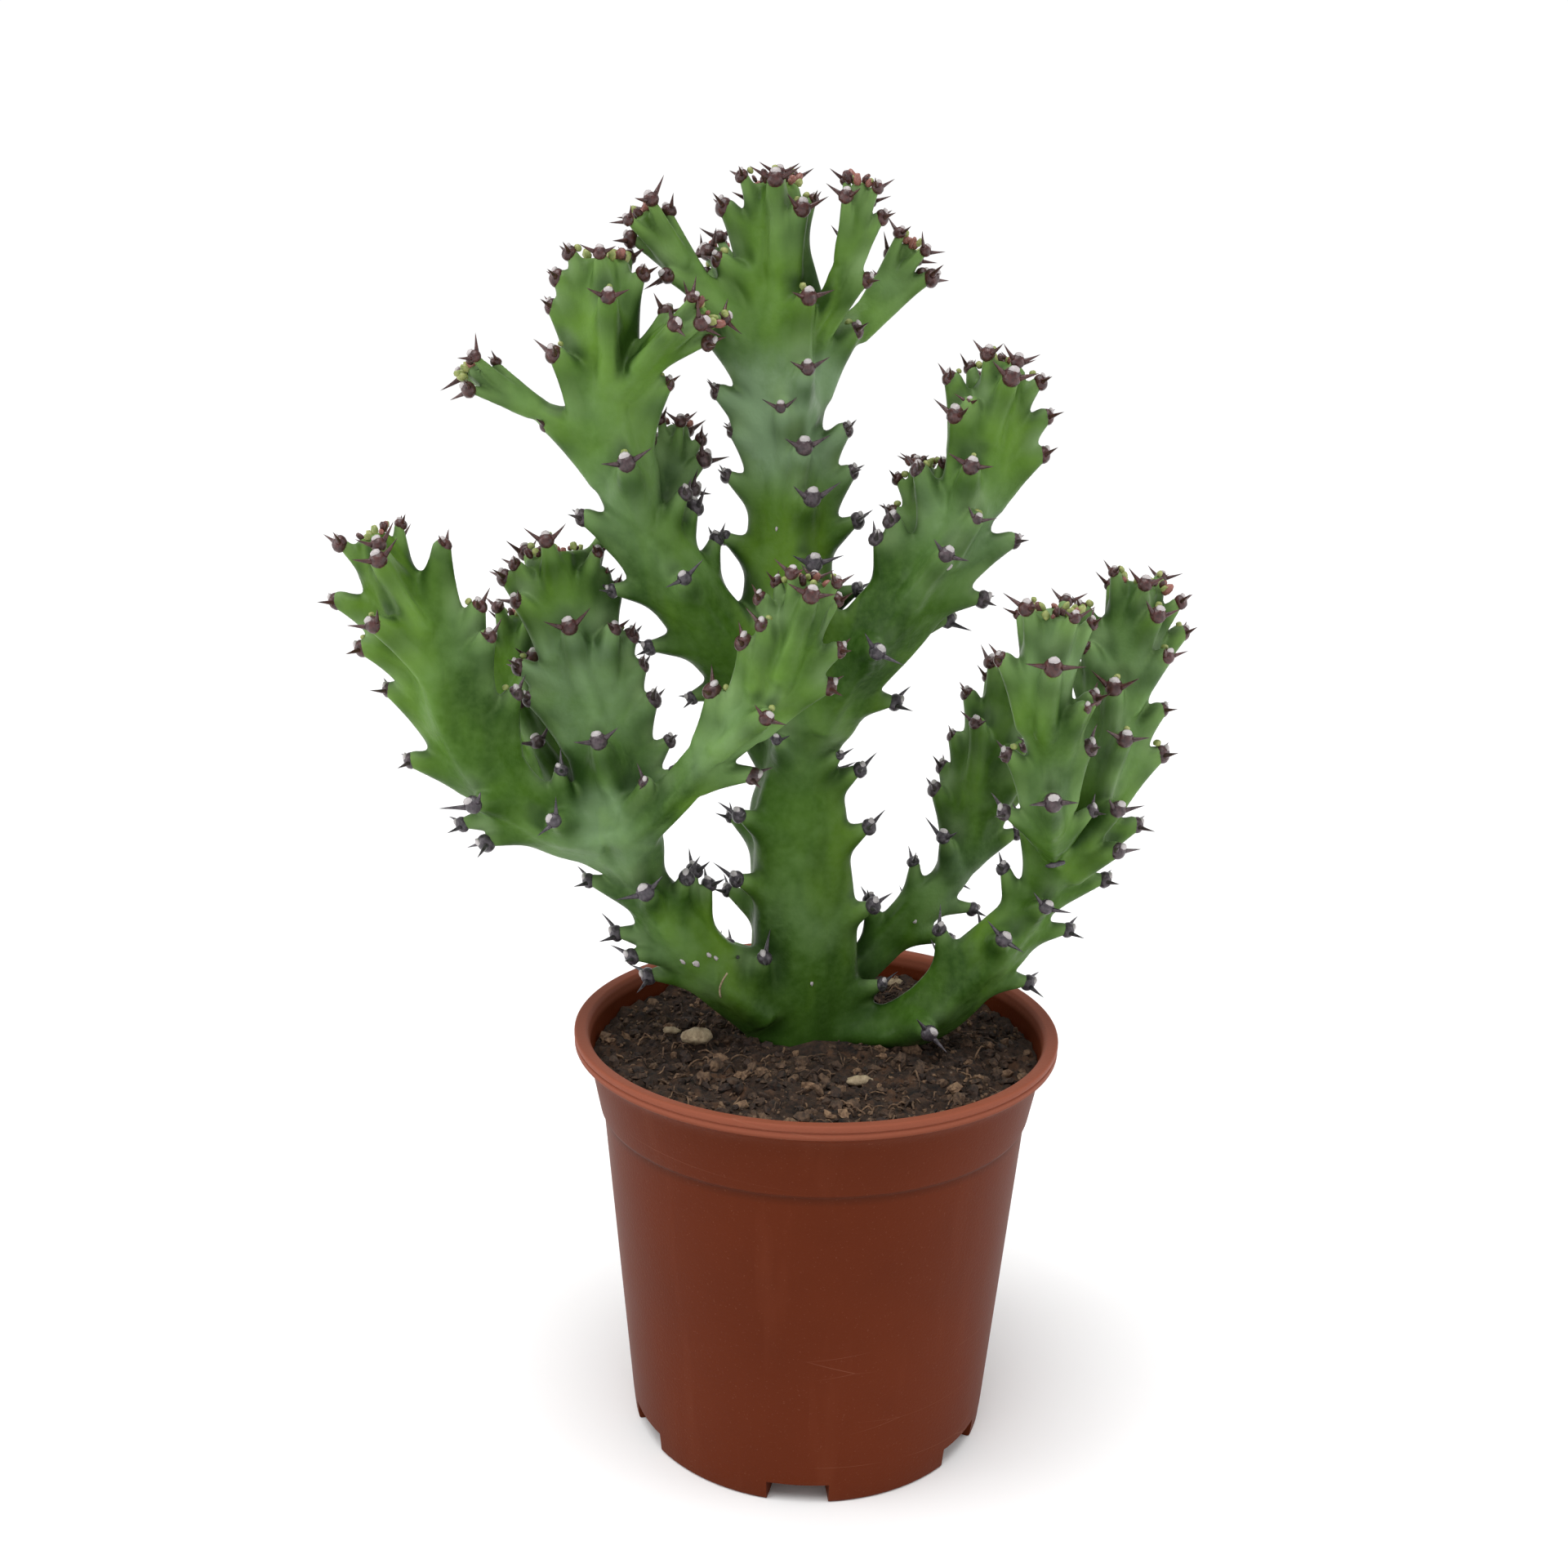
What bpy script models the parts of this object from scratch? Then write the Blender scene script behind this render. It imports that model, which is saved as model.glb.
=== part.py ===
"""Potted euphorbia: a thorny, ribbed succulent with pinched side stems, in a round nursery pot.

Sizes are in millimetres and are turned into metres by MM as the meshes are made.
The origin is the centre of the pot's underside, +Z is up and -Y is the front of the plant.
"""
import math
import random

import bmesh
import bpy
from mathutils import Vector

MM = 0.001
GAP = 0.3  # clearance between pieces that touch

# Pot: a 17 cm thin-walled nursery pot
POT_HEIGHT = 148.7
RIM_RADIUS = 85.0
WALL = 1.4
WALL_FOOT_RADIUS = 64.1
WALL_TAPER = 0.0911  # growth of the outer radius per millimetre of height
COLLAR_BOTTOM = 119.0  # height of the step below the collar
COLLAR_RADIUS = 78.2  # outer radius half way up the collar
COLLAR_MIDDLE = 131.0
MOUTH_RADIUS = 78.9  # inner radius below the rim
MOUTH_BOTTOM = 139.5
FLOOR_THICKNESS = 1.6
POT_SIDES = 48

# Drainage feet: pockets in the bottom corner, open outwards and downwards
FEET = 6
FOOT_FIRST_AZIMUTH = -2.0  # degrees from the front, towards +X
FOOT_WIDTH = 19.0  # degrees
FOOT_HEIGHT = 7.4
FOOT_INNER_RADIUS = 47.0
DRAIN_HOLE_RADIUS = 3.0
DRAIN_HOLE_PLACE = 55.0

# Soil
SOIL_LEVEL = 138.6
SOIL_EDGE = 138.0  # height at which the soil meets the pot
SOIL_RINGS = (14.0, 28.0, 42.0, 55.0, 67.0)

# Stems: section and teeth
CREST = 1.10  # crest radius over the mean radius
VALLEY = 0.86  # valley radius over the mean radius
POINTS_PER_RIB = 3  # one crest and two valley points
RINGS_PER_TOOTH = 4
TOOTH_SHOULDER = 0.35  # height of a tooth a quarter of the pitch away from its tip
TOOTH_RISE = 0.3  # how far a tooth leans towards the stem's tip, over its height
TIP_DOME = 0.25  # height of the tip's dome over its radius

GREEN = (0.13, 0.25, 0.07)
TERRACOTTA = (0.33, 0.09, 0.05)
PEAT = (0.035, 0.022, 0.014)
PALE_WOOD = (0.33, 0.26, 0.15)


def clear_scene():
    for obj in list(bpy.data.objects):
        bpy.data.objects.remove(obj, do_unlink=True)


def material(name, color, roughness, metallic=0.0):
    mat = bpy.data.materials.new(name)
    mat.use_nodes = True
    shader = mat.node_tree.nodes["Principled BSDF"]
    shader.inputs["Base Color"].default_value = (*color, 1.0)
    shader.inputs["Roughness"].default_value = roughness
    shader.inputs["Metallic"].default_value = metallic
    return mat


def add_object(name, verts, faces, mat=None, cutter=False):
    """Makes an object from points in millimetres; its faces are split into triangles."""
    mesh = bpy.data.meshes.new(name)
    mesh.from_pydata([Vector(v) * MM for v in verts], [], faces)
    bm = bmesh.new()
    bm.from_mesh(mesh)
    bmesh.ops.triangulate(bm, faces=bm.faces)
    bmesh.ops.recalc_face_normals(bm, faces=bm.faces)
    bm.to_mesh(mesh)
    bm.free()
    obj = bpy.data.objects.new(name, mesh)
    bpy.context.scene.collection.objects.link(obj)
    if mat:
        mesh.materials.append(mat)
        mesh.shade_smooth()
        mesh.set_sharp_from_angle(angle=math.radians(40))
    if cutter:
        obj.hide_render = True
        obj.display_type = 'WIRE'
    return obj


def boolean(obj, other, operation='DIFFERENCE'):
    mod = obj.modifiers.new(f"{operation.lower()}_{other.name}", 'BOOLEAN')
    mod.operation = operation
    mod.solver = 'EXACT'
    mod.object = other


# ---------------------------------------------------------------- pot

def wall_radius(z):
    """Outer radius of the plain wall at a height."""
    return WALL_FOOT_RADIUS + WALL_TAPER * z


def pot_profile():
    """Outline of the pot's section as (radius, height), from the underside's centre to the floor's."""
    inner_foot = wall_radius(FLOOR_THICKNESS) - WALL
    step = wall_radius(COLLAR_BOTTOM)
    return [
        (wall_radius(0) - 1.3, 0.0),
        (wall_radius(0) - 0.3, 0.4),
        (wall_radius(1.4), 1.4),
        (step, COLLAR_BOTTOM),
        (step + 1.1, COLLAR_BOTTOM + 1.8),
        (COLLAR_RADIUS, COLLAR_MIDDLE),
        (80.3, MOUTH_BOTTOM),
        (82.0, 142.6),
        (84.2, 143.7),
        (RIM_RADIUS, 144.8),
        (RIM_RADIUS, POT_HEIGHT - 0.9),
        (RIM_RADIUS - 0.9, POT_HEIGHT),
        (81.3, POT_HEIGHT),
        (80.0, POT_HEIGHT - 1.0),
        (MOUTH_RADIUS, MOUTH_BOTTOM),
        (COLLAR_RADIUS - WALL, COLLAR_MIDDLE),
        (step - WALL, COLLAR_BOTTOM + 1.0),
        (inner_foot, FLOOR_THICKNESS),
    ]


def revolve(profile, bottom, top):
    """Turns an outline about Z; it closes on the axis at the heights bottom and top."""
    verts, faces = [], []
    for side in range(POT_SIDES):
        angle = 2 * math.pi * side / POT_SIDES
        verts += [(r * math.cos(angle), r * math.sin(angle), z) for r, z in profile]
    count = len(profile)
    verts += [(0, 0, bottom), (0, 0, top)]
    low, high = len(verts) - 2, len(verts) - 1
    for side in range(POT_SIDES):
        here, there = side * count, (side + 1) % POT_SIDES * count
        for k in range(count - 1):
            faces.append((here + k, there + k, there + k + 1, here + k + 1))
        faces.append((low, there, here))
        faces.append((high, here + count - 1, there + count - 1))
    return verts, faces


def wedge(azimuth, width, radii, heights):
    """A block between two radii, two heights and two azimuths from the front."""
    steps = 4
    verts, faces = [], []
    for k in range(steps + 1):
        angle = math.radians(azimuth + width * (k / steps - 0.5))
        for radius, z in ((radii[0], heights[0]), (radii[1], heights[0]),
                          (radii[1], heights[1]), (radii[0], heights[1])):
            verts.append((radius * math.sin(angle), -radius * math.cos(angle), z))
    for k in range(steps):
        for a in range(4):
            b = (a + 1) % 4
            faces.append((4 * k + a, 4 * k + b, 4 * k + 4 + b, 4 * k + 4 + a))
    faces += [(3, 2, 1, 0), (4 * steps, 4 * steps + 1, 4 * steps + 2, 4 * steps + 3)]
    return verts, faces


def feet(grow, radii, heights):
    """One wedge over each drainage pocket, with grow millimetres more on both sides."""
    verts, faces = [], []
    widen = math.degrees(2 * grow / FOOT_INNER_RADIUS)
    for k in range(FEET):
        azimuth = FOOT_FIRST_AZIMUTH + 360 / FEET * k
        points, polygons = wedge(azimuth, FOOT_WIDTH + widen, radii, heights)
        faces += [tuple(i + len(verts) for i in polygon) for polygon in polygons]
        verts += points
    return verts, faces


def drain_holes():
    """Short upright pins, one over each drainage pocket."""
    verts, faces = [], []
    sides = 10
    for k in range(FEET):
        azimuth = math.radians(FOOT_FIRST_AZIMUTH + 360 / FEET * k)
        cx, cy = DRAIN_HOLE_PLACE * math.sin(azimuth), -DRAIN_HOLE_PLACE * math.cos(azimuth)
        start = len(verts)
        for z in (FOOT_HEIGHT - 2, FOOT_HEIGHT + 4):
            for j in range(sides):
                turn = 2 * math.pi * j / sides
                verts.append((cx + DRAIN_HOLE_RADIUS * math.cos(turn),
                              cy + DRAIN_HOLE_RADIUS * math.sin(turn), z))
        for j in range(sides):
            after = (j + 1) % sides
            faces.append((start + j, start + after, start + sides + after, start + sides + j))
        faces.append(tuple(start + j for j in reversed(range(sides))))
        faces.append(tuple(start + sides + j for j in range(sides)))
    return verts, faces


def make_pot():
    verts, faces = revolve(pot_profile(), 0.0, FLOOR_THICKNESS)
    pot = add_object("pot", verts, faces, material("terracotta_plastic", TERRACOTTA, 0.5))
    outer = wall_radius(0)
    roofs = feet(WALL, (FOOT_INNER_RADIUS - WALL, outer - 0.8), (0.7, FOOT_HEIGHT + WALL))
    boolean(pot, add_object("pocket_roofs", *roofs, cutter=True), 'UNION')
    pockets = feet(0.0, (FOOT_INNER_RADIUS, outer + 5), (-1.0, FOOT_HEIGHT))
    boolean(pot, add_object("pockets", *pockets, cutter=True))
    boolean(pot, add_object("drain_hole_pins", *drain_holes(), cutter=True))
    return pot


# ---------------------------------------------------------------- soil

def soil_height(x, y):
    """Level of the soil, gently uneven."""
    return SOIL_LEVEL + 0.7 * math.sin(0.11 * x + 0.6) * math.cos(0.13 * y) + 0.4 * math.sin(0.2 * y + 1)


def make_soil():
    """The root ball: fills the pot from its floor to the soil's level, with a gap all round."""
    floor = FLOOR_THICKNESS + GAP
    top_edge = wall_radius(COLLAR_BOTTOM) - WALL - GAP
    profile = [(wall_radius(floor) - WALL - GAP, floor), (top_edge, COLLAR_BOTTOM + 1.0),
               (COLLAR_RADIUS - WALL - GAP, COLLAR_MIDDLE), (MOUTH_RADIUS - 2 * GAP, SOIL_EDGE)]
    profile += [(radius, SOIL_LEVEL) for radius in reversed(SOIL_RINGS)]
    verts, faces = revolve(profile, floor, SOIL_LEVEL)
    surface = [z >= SOIL_EDGE for _, _, z in verts]
    verts = [(x, y, soil_height(x, y) if top else z) for (x, y, z), top in zip(verts, surface)]
    soil = add_object("soil", verts, faces, material("peat_soil", PEAT, 0.95))
    clear = WALL + 1.5 * GAP
    roofs = feet(clear, (FOOT_INNER_RADIUS - clear, RIM_RADIUS), (0.0, FOOT_HEIGHT + clear))
    boolean(soil, add_object("soil_clearance", *roofs, cutter=True))
    return soil


def make_chip(name, x, y, size, seed, mat):
    """A flat shard of wood or stone lying on the soil; size is length, width and thickness."""
    rng = random.Random(seed)
    turn = rng.uniform(0, math.pi)
    bm = bmesh.new()
    bmesh.ops.create_icosphere(bm, subdivisions=2, radius=1.0)
    half = [0.5 * s for s in size]
    reach = max(half[:2])
    rest = max(soil_height(x + reach * a, y + reach * b) for a in (-1, 0, 1) for b in (-1, 0, 1))
    centre = rest + GAP + half[2] * 0.75
    verts = []
    for vert in bm.verts:
        a, b, c = vert.co * rng.uniform(0.88, 1.0)
        a, b, c = a * half[0], b * half[1], max(c, -0.75) * half[2]
        verts.append((x + a * math.cos(turn) - b * math.sin(turn),
                      y + a * math.sin(turn) + b * math.cos(turn), centre + c))
    faces = [tuple(v.index for v in face.verts) for face in bm.faces]
    bm.free()
    return add_object(name, verts, faces, mat)


# ---------------------------------------------------------------- stems

def smooth_path(points, samples=16):
    """A smooth curve through (x, y, z, radius) points, as a fine list of the same."""
    count = len(points)
    chords = [math.dist(points[i][:3], points[i + 1][:3]) for i in range(count - 1)]
    slopes = []
    for i in range(count):
        before = max(i - 1, 0)
        after = min(i, count - 2)
        slope = []
        for c in range(4):
            one = (points[before + 1][c] - points[before][c]) / chords[before]
            two = (points[after + 1][c] - points[after][c]) / chords[after]
            weight = chords[after] / (chords[before] + chords[after])
            slope.append(one * weight + two * (1 - weight))
        slopes.append(slope)
    fine = []
    for i in range(count - 1):
        for k in range(samples):
            t = k / samples
            h00, h10 = (1 + 2 * t) * (1 - t) ** 2, t * (1 - t) ** 2
            h01, h11 = t * t * (3 - 2 * t), t * t * (t - 1)
            fine.append([h00 * points[i][c] + h01 * points[i + 1][c]
                         + chords[i] * (h10 * slopes[i][c] + h11 * slopes[i + 1][c]) for c in range(4)])
    fine.append(list(points[-1]))
    return fine


def even_stations(fine, count):
    """count + 1 stations at equal distances along a fine path: centre, radius, along and front."""
    lengths = [0.0]
    for a, b in zip(fine, fine[1:]):
        lengths.append(lengths[-1] + math.dist(a[:3], b[:3]))
    stations = []
    segment = 0
    for k in range(count + 1):
        target = lengths[-1] * k / count
        while segment < len(fine) - 2 and lengths[segment + 1] < target:
            segment += 1
        a, b = fine[segment], fine[segment + 1]
        t = (target - lengths[segment]) / (lengths[segment + 1] - lengths[segment])
        x, y, z, radius = (a[c] + (b[c] - a[c]) * t for c in range(4))
        along = (Vector(b[:3]) - Vector(a[:3])).normalized()
        front = Vector((0, -1, 0))
        front = (front - along * front.dot(along)).normalized()
        stations.append((Vector((x, y, z)), radius, along, front))
    return stations


def path_length(points):
    return sum(math.dist(a[:3], b[:3]) for a, b in zip(points, points[1:]))


def tooth_height(ring, rib):
    """1 at a tooth's tip, which sits on every fourth ring, and in the gap of the next rib's teeth."""
    step = (ring + RINGS_PER_TOOTH // 2 * (rib % 2)) % RINGS_PER_TOOTH
    return {0: 1.0, 1: TOOTH_SHOULDER, RINGS_PER_TOOTH - 1: TOOTH_SHOULDER}.get(step, 0.0)


def stem_mesh(shape, grow=0.0):
    """The ribbed, toothed loft of one stem, with grow millimetres more all round."""
    points, ribs, face, twist, pitch, teeth = shape
    count = max(4, round(path_length(points) / pitch * RINGS_PER_TOOTH))
    stations = even_stations(smooth_path(points), count)
    around = ribs * POINTS_PER_RIB
    verts, faces = [], []
    for ring, (centre, radius, along, front) in enumerate(stations):
        side = along.cross(front)
        end = -1 if ring == 0 else 1 if ring == count else 0
        middle = centre + along * grow * end
        tall = teeth[0] + (teeth[1] - teeth[0]) * ring / count
        for j in range(around):
            angle = math.radians(face + twist * ring / count + 360 * j / around)
            out = front * math.cos(angle) + side * math.sin(angle)
            rise = 0.0
            reach = radius * VALLEY
            if j % POINTS_PER_RIB == 0:
                tooth = tall * tooth_height(ring, j // POINTS_PER_RIB) if 1 < ring else 0.0
                reach = radius * CREST + tooth
                rise = tooth * TOOTH_RISE
            verts.append(middle + out * (reach + grow) + along * rise)
    for ring in range(count):
        for j in range(around):
            after = (j + 1) % around
            here, there = ring * around, (ring + 1) * around
            faces.append((here + j, here + after, there + after, there + j))
    first, last = stations[0], stations[-1]
    verts += [first[0] - first[2] * (grow + 0.2 * first[1]), last[0] + last[2] * (grow + TIP_DOME * last[1])]
    base, tip = len(verts) - 2, len(verts) - 1
    for j in range(around):
        after = (j + 1) % around
        faces.append((base, after, j))
        faces.append((tip, count * around + j, count * around + after))
    return verts, faces


# name: (points as (x, y, z, radius), ribs, azimuth of the first rib, twist, tooth pitch,
#        (tooth height at the foot, at the tip)); a stem starts inside the stem that bears it
STEMS = {
    "trunk": (
        [(-5, 17, 95, 19), (-5, 17, 130, 21.5), (-5, 16, 164, 20), (-7, 14, 205, 18.5),
         (-8, 13, 224, 17.5), (-8, 12, 241, 14), (-7, 11, 258, 18), (-8, 11, 274, 18)],
        4, 48, 0, 23, (5, 5)),
    "leader": (
        [(-9, 11, 262, 14), (-13, 11, 281, 15.5), (-13, 10, 306, 16), (-13, 10, 334, 15),
         (-14, 9, 356, 12.7), (-15, 9, 368, 15), (-17, 8, 386, 17.5), (-18, 7, 401, 15),
         (-18, 6, 416, 12.5), (-18, 6, 431, 9)],
        4, 30, 20, 21, (4, 6)),
    "upper_left_stem": (
        [(-17, 9, 266, 11), (-30, 4, 278, 13), (-43, -2, 295, 12.5), (-54, -6, 311, 12),
         (-61, -8, 324, 11.2), (-66, -9, 340, 12), (-71, -10, 359, 13.5), (-71, -12, 377, 11.3),
         (-72, -13, 392, 10.7), (-72, -13, 404, 8.5)],
        4, 0, 10, 21, (4, 7)),
    "upper_right_stem": (
        [(-2, 8, 259, 14), (8, 2, 276, 14), (20, -3, 291, 14), (31, -6, 306, 13),
         (40, -7, 321, 12.2), (46, -7, 336, 11.8), (50, -7, 352, 11.3), (53, -7, 367, 10),
         (56, -7, 377, 8)],
        4, 20, 0, 20, (4, 6)),
    "lower_left_stem": (
        [(-19, 6, 149, 14), (-32, 1, 160, 14), (-44, -4, 175, 13), (-53, -9, 190, 11.8),
         (-60, -12, 202, 10), (-65, -14, 214, 13), (-69, -15, 225, 15)],
        4, 45, 0, 20, (4, 4)),
    "lower_right_stem": (
        [(12, 12, 142, 11), (25, 8, 143, 10), (39, 4, 151, 11.3), (54, 0, 169, 12),
         (67, -3, 185, 11), (75, -5, 198, 9.3), (82, -6, 213, 11.6), (90, -7, 232, 11.8),
         (95, -8, 252, 10.9), (97, -8, 268, 9.7), (99, -7, 284, 11), (104, -6, 307, 9.4)],
        4, 40, 0, 20, (4, 8)),
    "rear_right_stem": (
        [(13, 25, 157, 7.5), (25, 30, 169, 8), (37, 34, 181, 8.7), (49, 37, 193, 7),
         (55, 40, 208, 9.6), (59, 42, 226, 10.2), (64, 44, 244, 9.2), (70, 45, 266, 8)],
        4, 45, 0, 20, (4, 5)),
    "left_outer_arm": (
        [(-74, -17, 222, 13), (-86, -20, 224, 11.4), (-100, -24, 233, 11.3),
         (-111, -28, 249, 12.7), (-118, -31, 266, 12.8), (-122, -33, 282, 12.4),
         (-130, -34, 296, 11.8), (-140, -35, 309, 10.5), (-146, -35, 320, 8)],
        4, 20, 0, 21, (4, 10)),
    "left_middle_arm": (
        [(-67, -14, 230, 13), (-72, -11, 246, 13.5), (-78, -7, 263, 12.5), (-84, -3, 282, 12),
         (-88, 0, 296, 11.8), (-90, 2, 311, 11)],
        4, 45, 0, 20, (4, 6)),
    "left_inner_arm": (
        [(-62, -22, 225, 9.5), (-49, -30, 237, 7.4), (-36, -38, 253, 7.3), (-23, -44, 267, 8.4),
         (-13, -48, 282, 9.5), (-8, -50, 296, 8.2), (-5, -50, 311, 7.5)],
        4, 10, 0, 19, (3, 6)),
    "left_rear_arm": (
        [(-76, -6, 221, 9.5), (-87, 4, 228, 9.5), (-98, 15, 240, 9.5), (-106, 23, 254, 9.2),
         (-108, 28, 271, 9.2), (-106, 30, 285, 7.8)],
        4, 45, 0, 19, (4, 6)),
    "right_front_arm": (
        [(78, -16, 216, 4.5), (75, -27, 229, 7.7), (73, -31, 241, 8.7), (72, -34, 252, 7.6),
         (70, -37, 267, 9.3), (69, -39, 282, 9.4), (70, -41, 301, 8.5)],
        4, 0, 0, 19, (3, 5)),
    "leader_left_arm": (
        [(-28, 4, 387, 6.6), (-36, 0, 394, 6), (-46, -3, 402, 4.9), (-54, -6, 410, 5.4),
         (-60, -7, 420, 6.4)],
        3, 0, 0, 19, (1.5, 5)),
    "leader_rear_arm": (
        [(-28, 14, 398, 5.9), (-36, 22, 403, 5.1), (-39, 27, 410, 4.2)],
        3, 0, 0, 16, (1, 4)),
    "leader_right_arm": (
        [(-8, 2, 386, 6.6), (-2, -4, 397, 5.9), (1, -8, 410, 5.6), (3, -10, 431, 6.2)],
        3, 90, 0, 19, (1.5, 5)),
    "leader_side_arm": (
        [(-3, 10, 379, 6.7), (8, 14, 388, 5.6), (17, 18, 399, 4.8), (25, 20, 411, 5.4)],
        3, 60, 0, 16, (1, 4)),
    "upper_left_outer_arm": (
        [(-76, -12, 358, 7.5), (-87, -13, 362, 6), (-99, -14, 368, 4.6), (-110, -15, 374, 4.5),
         (-116, -16, 379, 4.8)],
        3, 0, 0, 19, (1, 3)),
    "upper_left_inner_arm": (
        [(-65, -16, 365, 7), (-56, -20, 375, 5.8), (-47, -24, 383, 5), (-39, -27, 388, 5.2)],
        3, 30, 0, 16, (1, 4)),
    "upper_left_rear_arm": (
        [(-61, -2, 323, 6), (-54, 7, 333, 6), (-51, 12, 343, 6), (-51, 15, 353, 5)],
        3, 90, 0, 14, (1, 3)),
    "upper_right_side_arm": (
        [(37, 2, 314, 6.8), (33, 8, 324, 6.3), (31, 12, 334, 6), (31, 13, 342, 5.2)],
        3, 20, 0, 14, (1, 4)),
}

# stems whose foot dips into the soil
ROOTED = ("trunk", "lower_left_stem", "lower_right_stem")

# chip: x, y, (length, width, thickness)
CHIPS = {
    "wood_chip_large": (-42.0, -3.0, (12.0, 8.0, 3.4)),
    "wood_chip_small": (-52.0, 8.0, (7.0, 5.0, 2.6)),
    "wood_chip_front": (15.0, -30.0, (10.0, 5.0, 3.2)),
    "wood_chip_back": (29.0, 66.0, (11.0, 6.0, 3.0)),
}


def box_of(shape):
    """Lowest and highest corners of a stem, with its teeth."""
    margin = 1.0 + max(shape[5])
    low = [min(p[c] - p[3] * CREST - margin for p in shape[0]) for c in range(3)]
    high = [max(p[c] + p[3] * CREST + margin for p in shape[0]) for c in range(3)]
    return low, high


def near(one, two):
    (low_a, high_a), (low_b, high_b) = box_of(one), box_of(two)
    return all(low_a[c] < high_b[c] and low_b[c] < high_a[c] for c in range(3))


def make_stems(soil):
    """Each stem is cut away where an earlier one stands, so that they meet across the gap."""
    green = material("green_stem", GREEN, 0.45)
    cutters = {}
    for name, shape in STEMS.items():
        stem = add_object(name, *stem_mesh(shape), green)
        for other, cutter in cutters.items():
            if near(shape, STEMS[other]):
                boolean(stem, cutter)
        cutters[name] = add_object(f"{name}_socket", *stem_mesh(shape, 1.5 * GAP), cutter=True)
        if name in ROOTED:
            boolean(soil, cutters[name])


def main():
    clear_scene()
    make_pot()
    soil = make_soil()
    make_stems(soil)
    pale = material("pale_wood", PALE_WOOD, 0.9)
    for seed, (name, (x, y, size)) in enumerate(CHIPS.items()):
        make_chip(name, x, y, size, seed, pale)


main()
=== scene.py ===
"""Looks of a potted euphorbia: waxy ribbed stems, spine shields, crumbly soil and a nursery pot.

Stems, soil and pot are worked out in millimetres, in the frame of the CAD model, and turned
into metres by MM as the meshes are made. The origin is under the pot's centre, -Y is the front.
"""

import math
import random

import bmesh
import bpy
import numpy as np
from mathutils import Matrix, Vector


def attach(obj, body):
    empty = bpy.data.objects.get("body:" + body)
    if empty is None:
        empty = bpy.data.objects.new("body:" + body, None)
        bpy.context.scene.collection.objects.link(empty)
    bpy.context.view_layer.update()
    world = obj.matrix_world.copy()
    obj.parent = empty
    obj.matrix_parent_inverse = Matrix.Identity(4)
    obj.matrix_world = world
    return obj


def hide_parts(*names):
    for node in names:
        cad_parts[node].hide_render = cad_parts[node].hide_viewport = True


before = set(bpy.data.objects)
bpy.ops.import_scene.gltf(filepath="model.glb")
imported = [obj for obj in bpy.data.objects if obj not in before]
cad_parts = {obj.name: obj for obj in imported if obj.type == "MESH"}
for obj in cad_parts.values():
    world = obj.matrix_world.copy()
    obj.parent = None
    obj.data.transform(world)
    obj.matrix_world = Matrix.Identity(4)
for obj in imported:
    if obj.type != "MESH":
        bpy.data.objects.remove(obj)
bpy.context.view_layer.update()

MM = 0.001
TAU = 2 * math.pi
GRID = 1.0  # cell size of the stems' field

# ---- design

# Ribs: (azimuth at the foot, azimuth at the tip, places of the teeth along the stem in millimetres);
# azimuth 0 faces the front and 90 the right.


def every(first, pitch, last=400):
    """Places a pitch apart."""
    return [first + pitch * k for k in range(int((last - first) / pitch) + 1)]


def ribs(face, count, first, pitch):
    """Evenly spaced ribs whose teeth alternate."""
    turns = [face + 360 / count * k for k in range(count)]
    return [(turn, turn, every(first + pitch * 0.5 * (k % 2), pitch)) for k, turn in enumerate(turns)]


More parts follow.
